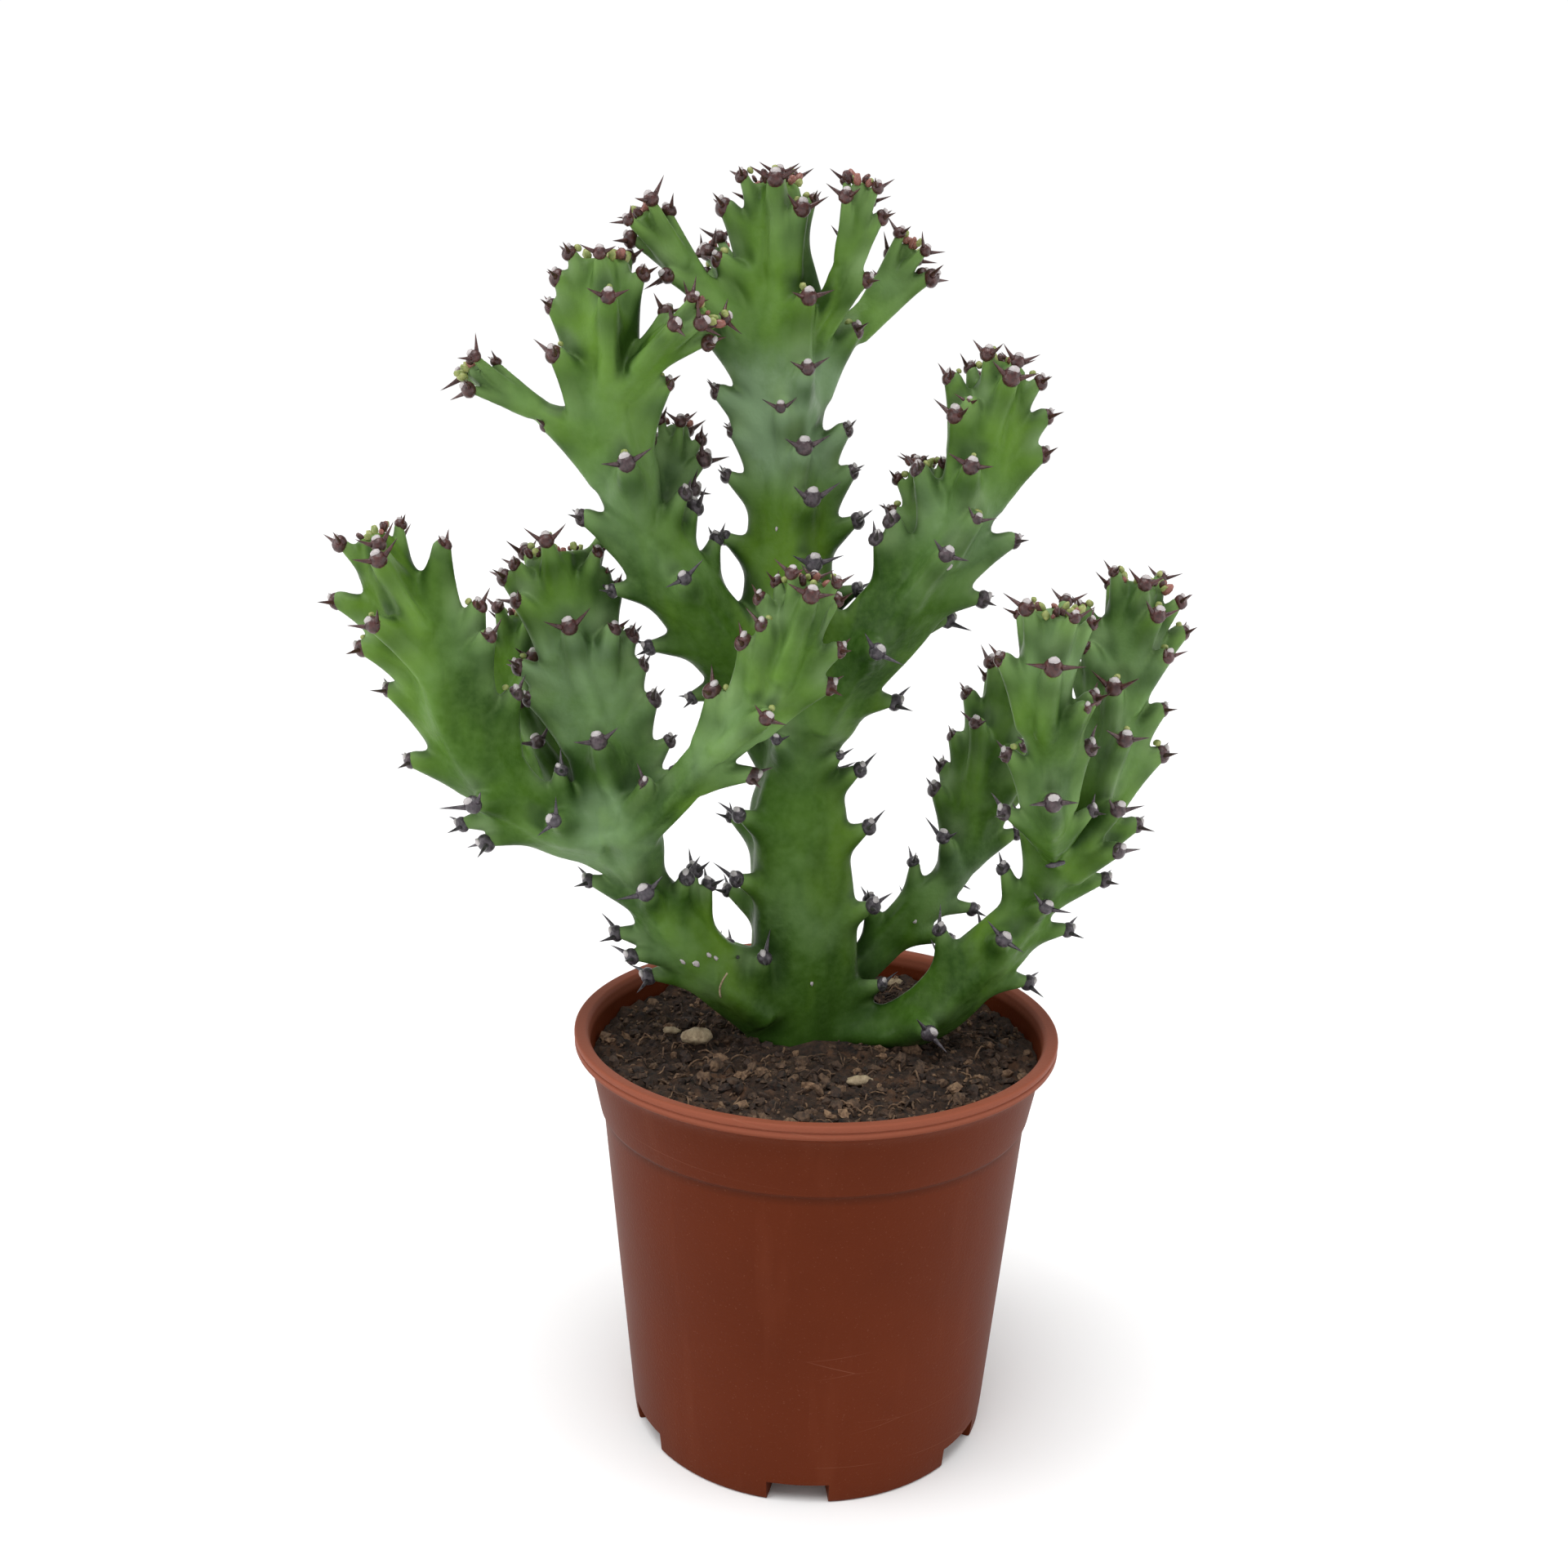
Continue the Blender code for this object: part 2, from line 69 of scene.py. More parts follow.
# Each stem: points (x, y, z, radius), ribs, lone teeth as (place along the stem, azimuth, height), the
# crown's teeth as (count, azimuth of the first), tooth height at the foot and the tip, age at the foot
# and the tip (0 is old, 1 is fresh growth), and pale bloom as (place, strength)
STEMS = {
    "trunk": dict(
        points=[(-5, 17, 95, 19), (-5, 17, 130, 21.5), (-5, 16, 164, 20), (-7, 14, 205, 18.5),
                (-8, 13, 224, 17.5), (-8, 12, 241, 13.2), (-7, 11, 258, 17.5), (-8, 11, 274, 18)],
        ribs=[(75, 70, [63, 91, 119, 141]), (150, 150, [55, 80, 105, 132, 155]),
              (250, 255, [68, 93, 121, 147]), (300, 315, [76, 104, 128])],
        lone=[(156, -25, 2), (151, 50, 2)],
        teeth=(5.5, 4.5), age=(0.0, 0.12), bloom=[(158, 0.3)]),
    "leader": dict(
        points=[(-9, 11, 262, 14), (-13, 11, 281, 15.5), (-13, 10, 306, 15), (-13, 10, 334, 13.5),
                (-14, 9, 355, 11.5), (-15, 9, 366, 14.8), (-17, 8, 385, 16.5), (-18, 7, 400, 13),
                (-19, 6, 416, 9.8), (-19, 6, 429, 7.6)],
        ribs=[(22, 16, [48, 69, 86, 109]), (88, 90, [38, 59, 76, 89, 118]),
              (185, 185, every(45, 20)), (272, 272, [54, 75, 90, 103, 121, 158])],
        lone=[(98, -5, 2), (131, 26, 5), (157, 32, 4.5), (165, 0, 5), (143, -72, 5.5)],
        crown=(5, 5),
        teeth=(4.5, 5), age=(0.1, 0.9), bloom=[(0, 0.2), (88, 1.3), (106, 1.1)]),
    "upper_left_stem": dict(
        points=[(-17, 9, 266, 11), (-30, 4, 278, 13), (-43, -2, 295, 12.5), (-54, -6, 311, 12),
                (-61, -8, 324, 9.5), (-66, -9, 340, 11.5), (-71, -10, 358, 12.8), (-71, -12, 377, 10.5),
                (-71, -13, 392, 9.8), (-71, -13, 404, 7.8)],
        ribs=[(14, 14, [54, 93, 144]), (75, 80, [22, 76, 117]), (120, 115, [52, 66]),
              (190, 190, every(25, 20)), (275, 275, [18, 36, 58, 80, 108])],
        lone=[(126, -60, 5), (140, -88, 5), (149, -80, 4)],
        crown=(5, 5),
        teeth=(4.5, 5), age=(0.05, 0.9), bloom=[(86, 0.4), (112, 0.3)]),
    "upper_right_stem": dict(
        points=[(-2, 8, 259, 14), (8, 2, 276, 14), (20, -3, 291, 14), (31, -6, 306, 13),
                (40, -7, 321, 11), (46, -7, 336, 11.2), (50, -7, 352, 10.5), (53, -7, 366, 9),
                (55, -7, 375, 6.8)],
        ribs=[(14, -20, [37, 71, 97]), (97, 93, [15, 64, 81, 105, 118]),
              (185, 185, every(25, 20)), (285, 280, [33, 60, 67, 90, 122])],
        lone=[(50, 125, 4), (84, 12, 3), (112, -50, 4), (118, -42, 2), (127, 5, 4)],
        crown=(5, 20),
        teeth=(4.5, 5), age=(0.05, 0.85), bloom=[(82, 0.55)]),
    "lower_left_stem": dict(
        points=[(-19, 6, 150, 11.5), (-32, 1, 162, 11.5), (-44, -4, 176, 11.8), (-53, -9, 190, 11),
                (-60, -12, 202, 9), (-65, -14, 214, 13), (-69, -15, 225, 15)],
        ribs=[(0, 10, [70]), (72, 75, [17, 62]), (112, 110, [50, 58]),
              (185, 185, every(20, 20)), (268, 266, [37, 53, 74])],
        lone=[(48, 290, 4)],
        teeth=(4.5, 4), age=(0.0, 0.25), bloom=[(94, 1.1)]),
    "lower_right_stem": dict(
        points=[(12, 12, 142, 11), (25, 8, 143, 10), (39, 4, 151, 11.3), (54, 0, 169, 12),
                (67, -3, 185, 10.5), (75, -5, 198, 8.4), (82, -6, 213, 11), (90, -7, 232, 11),
                (95, -8, 252, 10.2), (97, -8, 268, 8.8), (99, -7, 284, 10.4), (103, -6, 306, 8.4)],
        ribs=[(5, 0, [33, 92, 153]), (97, 95, [62, 84, 103, 124, 146, 161, 188]),
              (185, 185, every(40, 20)), (270, 268, [57, 90, 110, 130, 150, 170, 188])],
        lone=[(75, -18, 4.5), (118, 48, 4), (131, 18, 5), (168, -18, 3.5), (180, 42, 4),
              (193, 15, 4), (178, -65, 4)],
        crown=(5, 0),
        teeth=(4.5, 4.5), age=(0.0, 0.85), bloom=[(150, 0.4), (176, 0.5)]),
    "rear_right_stem": dict(
        points=[(13, 25, 157, 7.5), (25, 30, 169, 8), (37, 34, 181, 8.7), (49, 37, 193, 7),
                (55, 40, 208, 9.6), (59, 42, 226, 10.2), (64, 44, 244, 9.2), (70, 45, 266, 8)],
        ribs=[(-38, -42, [62, 107]), (85, 95, [33, 47, 70, 90, 103]), (165, 165, every(30, 20)),
              (270, 268, [22, 42, 80, 98, 114])],
        lone=[(87, -110, 4), (92, 50, 3), (104, 35, 3)],
        crown=(5, 10),
        teeth=(4.5, 4), age=(0.0, 0.7), bloom=[(0, 0.3), (50, 0.3)]),
    "left_outer_arm": dict(
        points=[(-74, -17, 222, 13), (-86, -20, 224, 11.4), (-100, -24, 233, 11.3), (-111, -28, 249, 12.7),
                (-118, -31, 266, 12.8), (-122, -33, 282, 12.4), (-130, -34, 296, 11.4),
                (-138, -35, 309, 9), (-142, -35, 319, 6.5)],
        ribs=[(-12, -22, [40, 101]), (88, 85, [22, 63, 91]), (180, 180, every(30, 22)),
              (275, 268, [34, 55, 74, 96])],
        lone=[(18, 20, 5), (28, 290, 4), (84, 65, 7), (108, 84, 9), (112, 268, 7), (118, 15, 4)],
        crown=(4, -60),
        teeth=(4, 5.5), age=(0.1, 1.0), bloom=[(0, 0.8)]),
    "left_middle_arm": dict(
        points=[(-67, -14, 230, 13), (-72, -11, 246, 13.5), (-78, -7, 263, 12.5), (-84, -3, 282, 12),
                (-88, 0, 296, 11.8), (-90, 2, 311, 11)],
        ribs=[(8, 15, [20, 57]), (92, 95, [4, 14, 27, 39, 50, 68]), (180, 180, every(25, 18)),
              (300, 282, [40, 51, 78])],
        lone=[(54, 62, 4), (70, -45, 4), (76, 80, 3)],
        crown=(6, 0),
        teeth=(4.5, 4.5), age=(0.25, 0.9), bloom=[(0, 0.3), (30, 0.5), (52, 0.8)]),
    "left_inner_arm": dict(
        points=[(-62, -22, 225, 9.5), (-49, -30, 237, 7.4), (-36, -38, 253, 7.3), (-23, -44, 267, 8.2),
                (-13, -48, 282, 8.6), (-8, -50, 296, 7.4), (-5, -50, 310, 6.8)],
        ribs=[(12, 8, [69]), (90, 95, [45, 80, 90]), (185, 185, [50, 72, 92]),
              (272, 275, [58, 82, 98])],
        lone=[(20, -60, 3), (92, -62, 3.5), (105, 4, 3.5)],
        crown=(5, 40),
        teeth=(4, 4), age=(0.35, 1.0), bloom=[(0, 0.3), (62, 0.4), (44, 0.3)]),
    "left_rear_arm": dict(
        points=[(-76, -6, 221, 9.5), (-87, 4, 228, 9.5), (-98, 15, 240, 9.5), (-106, 23, 254, 9.2),
                (-108, 28, 271, 9.2), (-106, 30, 285, 7.8)],
        ribs=ribs(20, 4, 30, 18), teeth=(5, 7), age=(0.3, 0.9), bloom=[(0, 0.2)]),
    "right_front_arm": dict(
        points=[(78, -16, 216, 4.5), (75, -27, 229, 7.7), (73, -31, 241, 8.7), (72, -34, 252, 6.8),
                (70, -37, 267, 8.8), (69, -39, 282, 8.6), (70, -41, 301, 8.2)],
        ribs=[(-5, -5, [33, 75]), (90, 90, [20, 44, 60]), (180, 180, every(20, 20)),
              (270, 270, [24, 44, 73])],
        lone=[(61, 58, 3)],
        crown=(5, 15),
        teeth=(3.5, 4), age=(0.2, 1.05), bloom=[(33, 0.3), (82, 0.6)]),
    "leader_left_arm": dict(
        points=[(-28, 4, 385, 6.4), (-36, 0, 393, 5.2), (-46, -3, 402, 4.3), (-54, -6, 410, 4.8),
                (-60, -7, 418, 5.6)],
        ribs=[(-40, -35, [30]), (90, 90, []), (205, 205, [26])],
        crown=(5, 40),
        teeth=(2.5, 3), age=(0.8, 1.0), bloom=[(0, 0.3)]),
    "leader_rear_arm": dict(
        points=[(-28, 14, 398, 5.9), (-36, 22, 403, 5.1), (-39, 27, 410, 4.2)],
        ribs=ribs(0, 3, 12, 10), teeth=(3, 4), age=(0.8, 1.0), bloom=[(20, 0.6)]),
    "leader_right_arm": dict(
        points=[(-8, 2, 384, 6.4), (-1, -4, 395, 5.4), (4, -8, 410, 4.3), (7, -10, 428, 4.6)],
        ribs=[(10, 10, [44]), (95, 95, [22, 39]), (180, 180, [30])],
        crown=(4, 50),
        teeth=(2, 2.5), age=(0.8, 1.0), bloom=[]),
    "leader_side_arm": dict(
        points=[(-3, 10, 379, 6.7), (8, 14, 388, 5.6), (17, 18, 399, 4.8), (25, 20, 411, 5.4)],
        ribs=[(75, 70, [37]), (180, 180, [30]), (280, 280, [])],
        crown=(5, 20),
        teeth=(3, 4), age=(0.8, 1.0), bloom=[(30, 0.4)]),
    "upper_left_outer_arm": dict(
        points=[(-74, -12, 352, 7.5), (-86, -13, 356, 5), (-98, -14, 361, 4.3), (-108, -15, 367, 4.3),
                (-113, -16, 371, 4.4)],
        ribs=[(-10, -10, [40]), (120, 120, []), (245, 245, [43])],
        crown=(4, 30),
        teeth=(3, 3), age=(0.8, 1.0), bloom=[(30, 0.3)]),
    "upper_left_inner_arm": dict(
        points=[(-65, -16, 365, 7), (-56, -20, 375, 5.8), (-47, -24, 383, 5), (-39, -27, 388, 5.2)],
        ribs=[(-10, -10, [29]), (110, 110, []), (235, 235, [22])],
        crown=(5, 20),
        teeth=(3, 3.5), age=(0.8, 1.0), bloom=[(0, 0.2)]),
    "upper_left_rear_arm": dict(
        points=[(-61, -2, 323, 6), (-54, 7, 333, 6), (-51, 12, 343, 6), (-51, 15, 353, 5)],
        ribs=[(60, 60, every(16, 9)), (180, 180, every(20, 9)), (300, 300, every(18, 9))],
        teeth=(2, 3), age=(0.3, 0.6), bloom=[(20, 0.4)]),
    "upper_right_side_arm": dict(
        points=[(37, 2, 314, 6.8), (33, 8, 324, 6.3), (31, 12, 334, 6), (31, 13, 342, 5.2)],
        ribs=[(0, 0, [28]), (120, 120, [20]), (270, 270, [16])],
        crown=(5, 45),
        teeth=(2.5, 3), age=(0.4, 0.8), bloom=[(10, 0.5)]),
}

SEED = 11

# Section of a stem: radius on a rib's crest and in a valley over the stem's radius
CREST = 1.05
VALLEY = 0.85
SWELL = 1.0  # millimetres that blending adds to the skin
RIB_WIDTH = 0.42  # radians
FOLD_WAVES = (3, 5, 7, 9)  # faint folds round the stem
FOLD_TWIST = TAU / 45  # most radians a fold turns in a millimetre
PATH_STEP = 1.0  # distance between a stem's stations

# Teeth: round cones, with a ridge that runs down from a young one
RISE_FOOT = 0.25  # lean towards the stem's tip over a tooth's height, at the foot
RISE_MORE = 0.35  # and how much it grows up to the tip
CROWN_RISE = 1.3
GROWING = 0.5  # a stem whose tip is younger than this has a crown
CONE_TIP = 2.2
CONE_FOOT = 0.62  # radius at the foot over the stem's radius
CONE_FOOT_MOST = 9.5
CONE_DROP = 7.0  # how far the foot lies below the tip along the stem
CONE_BLEND = 3.0
CROWN_DROP = 13.0
RIDGE_AGE = 0.3  # younger skin than this has ridges
RIDGE_CLEAR = 12.0  # millimetres at the foot without ridges
RIDGE_DEPTH = 2.2  # how far a ridge's foot lies under the skin
RIDGE_FOOT = 3.0
RIDGE_TIP = 2.0
RIDGE_BLEND = 3.5
STEM_BLEND = 6.0
ARM_BLEND = 3.5  # for arms thinner than THIN
THIN = 7.5
CROWN_FREE = 7.0  # millimetres below the tip without ordinary teeth

# Field and skin
MARGIN = 16  # room round the stems
FAR = 20.0  # field value away from the stems
CLOSING = 3.0  # softness of a stem's rounded ends
BLOOM_WIDTH = 12.0
HOLLOW_REACH = 6.0  # millimetres over which hollows and edges of the skin are judged, for its painted shade and paler edges
EDGE_REACH = 4.0
CAP_DEPTH = 3.0  # depth of the hidden caps that close each stem's part of the skin


# ---- stem geometry

def hermite_path(points):
    """Evenly spaced stations along a smooth curve through (x, y, z, radius) points."""
    pts = np.array(points, float)
    chords = np.linalg.norm(np.diff(pts[:, :3], axis=0), axis=1)
    rates = np.diff(pts, axis=0) / chords[:, None]
    slopes = np.vstack([rates[:1], np.zeros((len(pts) - 2, 4)), rates[-1:]])
    weight = (chords[1:] / (chords[:-1] + chords[1:]))[:, None]
    slopes[1:-1] = rates[:-1] * weight + rates[1:] * (1 - weight)
    fine = []
    for i, chord in enumerate(chords):
        t = np.linspace(0, 1, 16, endpoint=False)[:, None]
        fine.append((1 + 2 * t) * (1 - t) ** 2 * pts[i] + t * (1 - t) ** 2 * chord * slopes[i]
                    + t * t * (3 - 2 * t) * pts[i + 1] + t * t * (t - 1) * chord * slopes[i + 1])
    fine = np.vstack(fine + [pts[-1:]])
    along = np.concatenate([[0], np.cumsum(np.linalg.norm(np.diff(fine[:, :3], axis=0), axis=1))])
    places = np.linspace(0, along[-1], max(int(along[-1] / PATH_STEP), 8) + 1)
    return places, np.stack([np.interp(places, along, fine[:, c]) for c in range(4)], axis=1)


def unit(v):
    return v / np.linalg.norm(v, axis=-1, keepdims=True)


def around(front, side, turn):
    """The direction that lies a turn away from front, towards side."""
    return front * math.cos(turn) + side * math.sin(turn)


class Stem:
    """One stem's centreline with a frame at each station, its ribs and its teeth."""

    def __init__(self, name, spec, seed):
        self.name, self.spec = name, spec
        self.s, data = hermite_path(spec["points"])
        self.centre, self.radius = data[:, :3], data[:, 3]
        self.length = self.s[-1]
        self.along = unit(np.gradient(self.centre, self.s, axis=0))
        front = np.array([0.0, -1.0, 0.0]) - self.along * -self.along[:, 1:2]
        self.front = unit(front)
        self.side = np.cross(self.along, self.front)
        self.rng = random.Random(seed)
        self.folds = [(wave, self.rng.uniform(-1, 1) * FOLD_TWIST, self.rng.uniform(0, TAU))
                      for wave in FOLD_WAVES]
        self.growing = spec["age"][1] > GROWING
        self.teeth = self.make_teeth()

    def at(self, s, values):
        return np.array([np.interp(s, self.s, values[:, c]) for c in range(values.shape[1])])

    def frame_at(self, s):
        """Centre, direction, way to the front, way to the side and radius at a place."""
        ways = [self.at(s, values) for values in (self.centre, self.along, self.front, self.side)]
        return *ways, float(np.interp(s, self.s, self.radius))

    def make_teeth(self):
        """Teeth along the ribs, lone ones between them, and those of the crown."""
        teeth = []
        foot, tip = self.spec["teeth"]
        last = self.length - (CROWN_FREE if self.growing else 0)
        for start, end, places in self.spec["ribs"]:
            for s in places:
                if s > last:
                    break
                part = s / self.length
                turn = start + (end - start) * part + self.rng.uniform(-5, 5)
                tall = (foot + (tip - foot) * part) * self.rng.uniform(1.0, 1.3)
                rise = RISE_FOOT + RISE_MORE * part
                teeth.append(self.tooth(s + self.rng.uniform(-1, 1), turn, tall, rise, 1.0))
        for s, turn, tall in self.spec.get("lone", ()):
            rise = RISE_FOOT + RISE_MORE * s / self.length
            teeth.append(self.tooth(s, turn, tall, rise, 1.0 if tall > 3 else 0.7))
        if self.growing:
            teeth += self.crown_teeth()
        return teeth

    def crown_teeth(self):
        """A ring of small teeth on the growing tip."""
        rng, teeth = self.rng, []
        count, face = self.spec.get("crown", (5, 20))
        for k in range(count):
            turn = face + 360 / count * k + rng.uniform(-10, 10)
            place = self.length - rng.uniform(0.5, 2) - 5 * (k % 2)
            tall = rng.uniform(0.18, 0.38) * self.radius[-1]
            teeth.append(self.tooth(place, turn, tall, CROWN_RISE, rng.uniform(0.7, 0.95), CROWN_DROP))
        return teeth

    def tooth(self, s, turn, tall, rise, size, drop=CONE_DROP):
        """One tooth: its cone, the way out, the stem's direction, its age and its ridge."""
        part = min(s / self.length, 1.0)
        turn = math.radians(turn)
        centre, along, front, side, radius = self.frame_at(s)
        out = around(front, side, turn)
        apex = centre + out * (radius * CREST + tall) + along * tall * rise
        low = self.at(max(s - drop - 3 * part, 0), self.centre) + out * radius * 0.3
        age = self.age_at(s)
        slim = min(1.0, 0.35 + radius / 14)  # thin stems have slim teeth
        ridge = None
        if age > RIDGE_AGE and s > RIDGE_CLEAR and drop < CROWN_DROP:
            reach = (9 + 12 * age) * self.rng.uniform(0.8, 1.2)
            below, _, front, side, deep = self.frame_at(max(s - reach, 0))
            ridge = below + around(front, side, turn + self.rng.uniform(-0.12, 0.12)) * (deep - RIDGE_DEPTH)
        return dict(apex=apex, foot=low, thick=min(radius * CONE_FOOT, CONE_FOOT_MOST), size=size,
                    tip=CONE_TIP * (0.5 + 0.5 * size) * slim, out=unit(out + along * (0.1 + 0.45 * rise)),
                    along=along, age=age, ridge=ridge, slim=slim)

    def age_at(self, s):
        """Age of the skin: most of the fresh growth is near the tip."""
        age0, age1 = self.spec["age"]
        return age0 + (age1 - age0) * np.clip(s / self.length, 0, 1) ** 1.7

    def section(self, turn, s, radius):
        """Radius of the ribbed, faintly folded skin at an azimuth and a place along the stem."""
        part = s / self.length
        crest = np.zeros_like(turn)
        for start, end, _ in self.spec["ribs"]:
            off = turn - np.radians(start + (end - start) * part)
            off = (off + math.pi) % TAU - math.pi
            crest += np.exp(-(off / RIB_WIDTH) ** 2)
        fold = sum(np.sin(wave * turn + rate * s + phase) for wave, rate, phase in self.folds)
        fold /= len(self.folds)
        strength = 0.03 + 0.04 * np.clip(part * 1.6 - 0.6, 0, 1)
        return radius * (VALLEY + (CREST - VALLEY) * np.minimum(crest, 1) + strength * fold) - SWELL


def soft_min(a, b, k):
    """The lower of two fields, blended over k where they meet."""
    h = np.clip(0.5 + 0.5 * (b - a) / k, 0, 1)
    return b + (a - b) * h - k * h * (1 - h)


def cone_field(points, foot, apex, thick, thin):
    """Distance to a cone with round ends."""
    axis = apex - foot
    t = np.clip(((points - foot) @ axis) / (axis @ axis), 0, 1)
    reach = np.linalg.norm(points - foot - t[..., None] * axis, axis=-1)
    return reach - (thick + (thin - thick) * t)


def block(low, high, start=(0, 0, 0)):
    """Slices from low to high of a grid that begins at the cell start."""
    return tuple(slice(a - o, b - o) for a, b, o in zip(low, high, start))


class Field:
    """Signed field of the whole plant on a regular grid; each cell knows its nearest stem."""

    def __init__(self, stems, step):
        self.step = step
        boxes = [self.box(stem) for stem in stems]
        self.low = np.floor(np.min([low for low, _ in boxes], axis=0))
        high = np.max([high for _, high in boxes], axis=0)
        self.shape = tuple(np.ceil((high - self.low) / step).astype(int) + 1)
        self.value = np.full(self.shape, FAR, np.float32)
        self.best = np.full(self.shape, FAR, np.float32)
        self.owner = np.full(self.shape, -1, np.int8)
        for index, stem in enumerate(stems):
            self.add(index, stem)

    @staticmethod
    def box(stem):
        room = stem.radius.max()
        return stem.centre.min(0) - room - MARGIN, stem.centre.max(0) + room + MARGIN

    def window(self, low, high):
        """First and last grid cells that cover a box."""
        a = np.clip(np.floor((low - self.low) / self.step).astype(int), 0, None)
        b = np.minimum(np.ceil((high - self.low) / self.step).astype(int) + 1, self.shape)
        return a, b

    def axes(self, a, b):
        return [self.low[c] + self.step * np.arange(a[c], b[c]) for c in range(3)]

    def nearest_stations(self, stem, a, b):
        """The stem's nearest station for each cell from a to b, or -1 far from the stem."""
        near = np.full(b - a, 1e6, np.float32)
        station = np.full(b - a, -1, np.int16)
        for k, c in enumerate(stem.centre):
            reach = stem.radius[k] + 9
            lo, hi = self.window(c - reach, c + reach)
            x, y, z = self.axes(lo, hi)
            gap = ((x - c[0]) ** 2)[:, None, None] + ((y - c[1]) ** 2)[None, :, None] + (z - c[2]) ** 2
            cut = block(lo, hi, a)
            closer = gap < near[cut]
            near[cut][closer] = gap[closer]
            station[cut][closer] = k
        return station

    def add(self, index, stem):
        """Blends a stem with its teeth into the plant."""
        a, b = self.window(*self.box(stem))
        station = self.nearest_stations(stem, a, b)
        local = np.full(b - a, FAR, np.float32)
        where = np.nonzero(station >= 0)
        points = self.low + self.step * (np.stack(where, axis=1) + a)
        local[where] = self.skin(stem, points, station[where])
        for tooth in stem.teeth:
            slim, apex, ridge = tooth["slim"], tooth["apex"], tooth["ridge"]
            self.join(local, a, b, tooth["foot"], apex, tooth["thick"], tooth["tip"], CONE_BLEND * slim)
            if ridge is not None:
                self.join(local, a, b, ridge, apex, RIDGE_FOOT, RIDGE_TIP * slim, RIDGE_BLEND * slim)
        cut = block(a, b)
        blend = ARM_BLEND if stem.radius.mean() < THIN else STEM_BLEND
        self.value[cut] = soft_min(self.value[cut], local, blend)
        closer = local < self.best[cut]
        self.best[cut][closer] = local[closer]
        self.owner[cut][closer] = index

    def join(self, local, a, b, foot, apex, thick, thin, blend):
        """Blends a round cone into a stem's own window, which spans the grid from a to b."""
        pad = max(thick, thin) + 4
        lo, hi = self.window(np.minimum(foot, apex) - pad, np.maximum(foot, apex) + pad)
        lo, hi = np.maximum(lo, a), np.minimum(hi, b)
        x, y, z = self.axes(lo, hi)
        points = np.stack(np.meshgrid(x, y, z, indexing="ij"), axis=-1)
        cone = cone_field(points, foot, apex, thick, thin)
        cut = block(lo, hi, a)
        local[cut] = soft_min(local[cut], cone, blend)

    @staticmethod
    def skin(stem, points, station):
        """Field of the ribbed skin, closed by a low dome at both ends."""
        arm = points - stem.centre[station]
        shift = np.einsum("ij,ij->i", arm, stem.along[station])
        s = np.clip(stem.s[station] + shift, 0, stem.length)
        arm -= shift[:, None] * stem.along[station]
        reach = np.linalg.norm(arm, axis=1)
        turn = np.arctan2(np.einsum("ij,ij->i", arm, stem.side[station]),
                          np.einsum("ij,ij->i", arm, stem.front[station]))
        radius = np.interp(s, stem.s, stem.radius)
        value = reach - stem.section(turn, s, radius)
        over = np.where(station == len(stem.s) - 1, shift, -1e3)
        under = np.where(station == 0, -shift, -1e3)
        excess = np.maximum(over, under) - 1.0
        return -soft_min(-value, -np.maximum(excess, -50), CLOSING)

    def sample(self, grid, points):
        """Trilinear value of a grid at points."""
        at = (points - self.low) / self.step
        i = np.clip(np.floor(at).astype(int), 0, np.array(self.shape) - 2)
        f = at - i
        out = 0
        for corner in np.ndindex(2, 2, 2):
            weight = np.abs(1 - np.array(corner) - f).prod(axis=1)
            value = grid[tuple((i + corner).T)]
            out = out + (weight if value.ndim == 1 else weight[:, None]) * value
        return out


def surface_nets(field):
    """Quads of the field's zero level, one vertex per crossed cell."""
    inside = field.value < 0
    size = np.array(field.value.shape) - 1
    corners = np.array(list(np.ndindex(2, 2, 2)))
    count = sum(inside[block(corner, corner + size)].astype(np.int8) for corner in corners)
    cells = np.stack(np.nonzero((count > 0) & (count < 8)), axis=1)
    index = np.full(size, -1, np.int64)
    index[tuple(cells.T)] = np.arange(len(cells))
    total = np.zeros((len(cells), 3))
    hits = np.zeros(len(cells))
    for axis, way in enumerate(np.eye(3, dtype=int)):
        for one in corners[corners[:, axis] == 0]:
            va = field.value[tuple((cells + one).T)]
            vb = field.value[tuple((cells + one + way).T)]
            cross = (va < 0) != (vb < 0)
            t = np.where(cross, va / np.where(cross, va - vb, 1), 0)
            total[cross] += (one + t[:, None] * way)[cross]
            hits += cross
    verts = field.low + field.step * (cells + total / hits[:, None])
    return verts, np.vstack([crossed_edges(inside, index, way) for way in np.eye(3, dtype=int)])


def crossed_edges(inside, index, way):
    """A quad round each grid edge along one axis that goes through the skin, facing outwards."""
    first = 1 - way
    here = inside[block(first, np.array(inside.shape) - 1)]
    there = inside[block(first + way, np.array(inside.shape) - 1 + way)]
    b, c = np.roll(way, 1), np.roll(way, 2)
    quads = []
    for sign in (True, False):
        at = np.stack(np.nonzero((here == sign) & (there != sign)), axis=1) + first
        quad = np.stack([index[tuple((at - back).T)] for back in (b + c, c, 0 * c, b)], axis=1)
        quads.append(quad if sign else quad[:, ::-1])
    return np.vstack(quads)


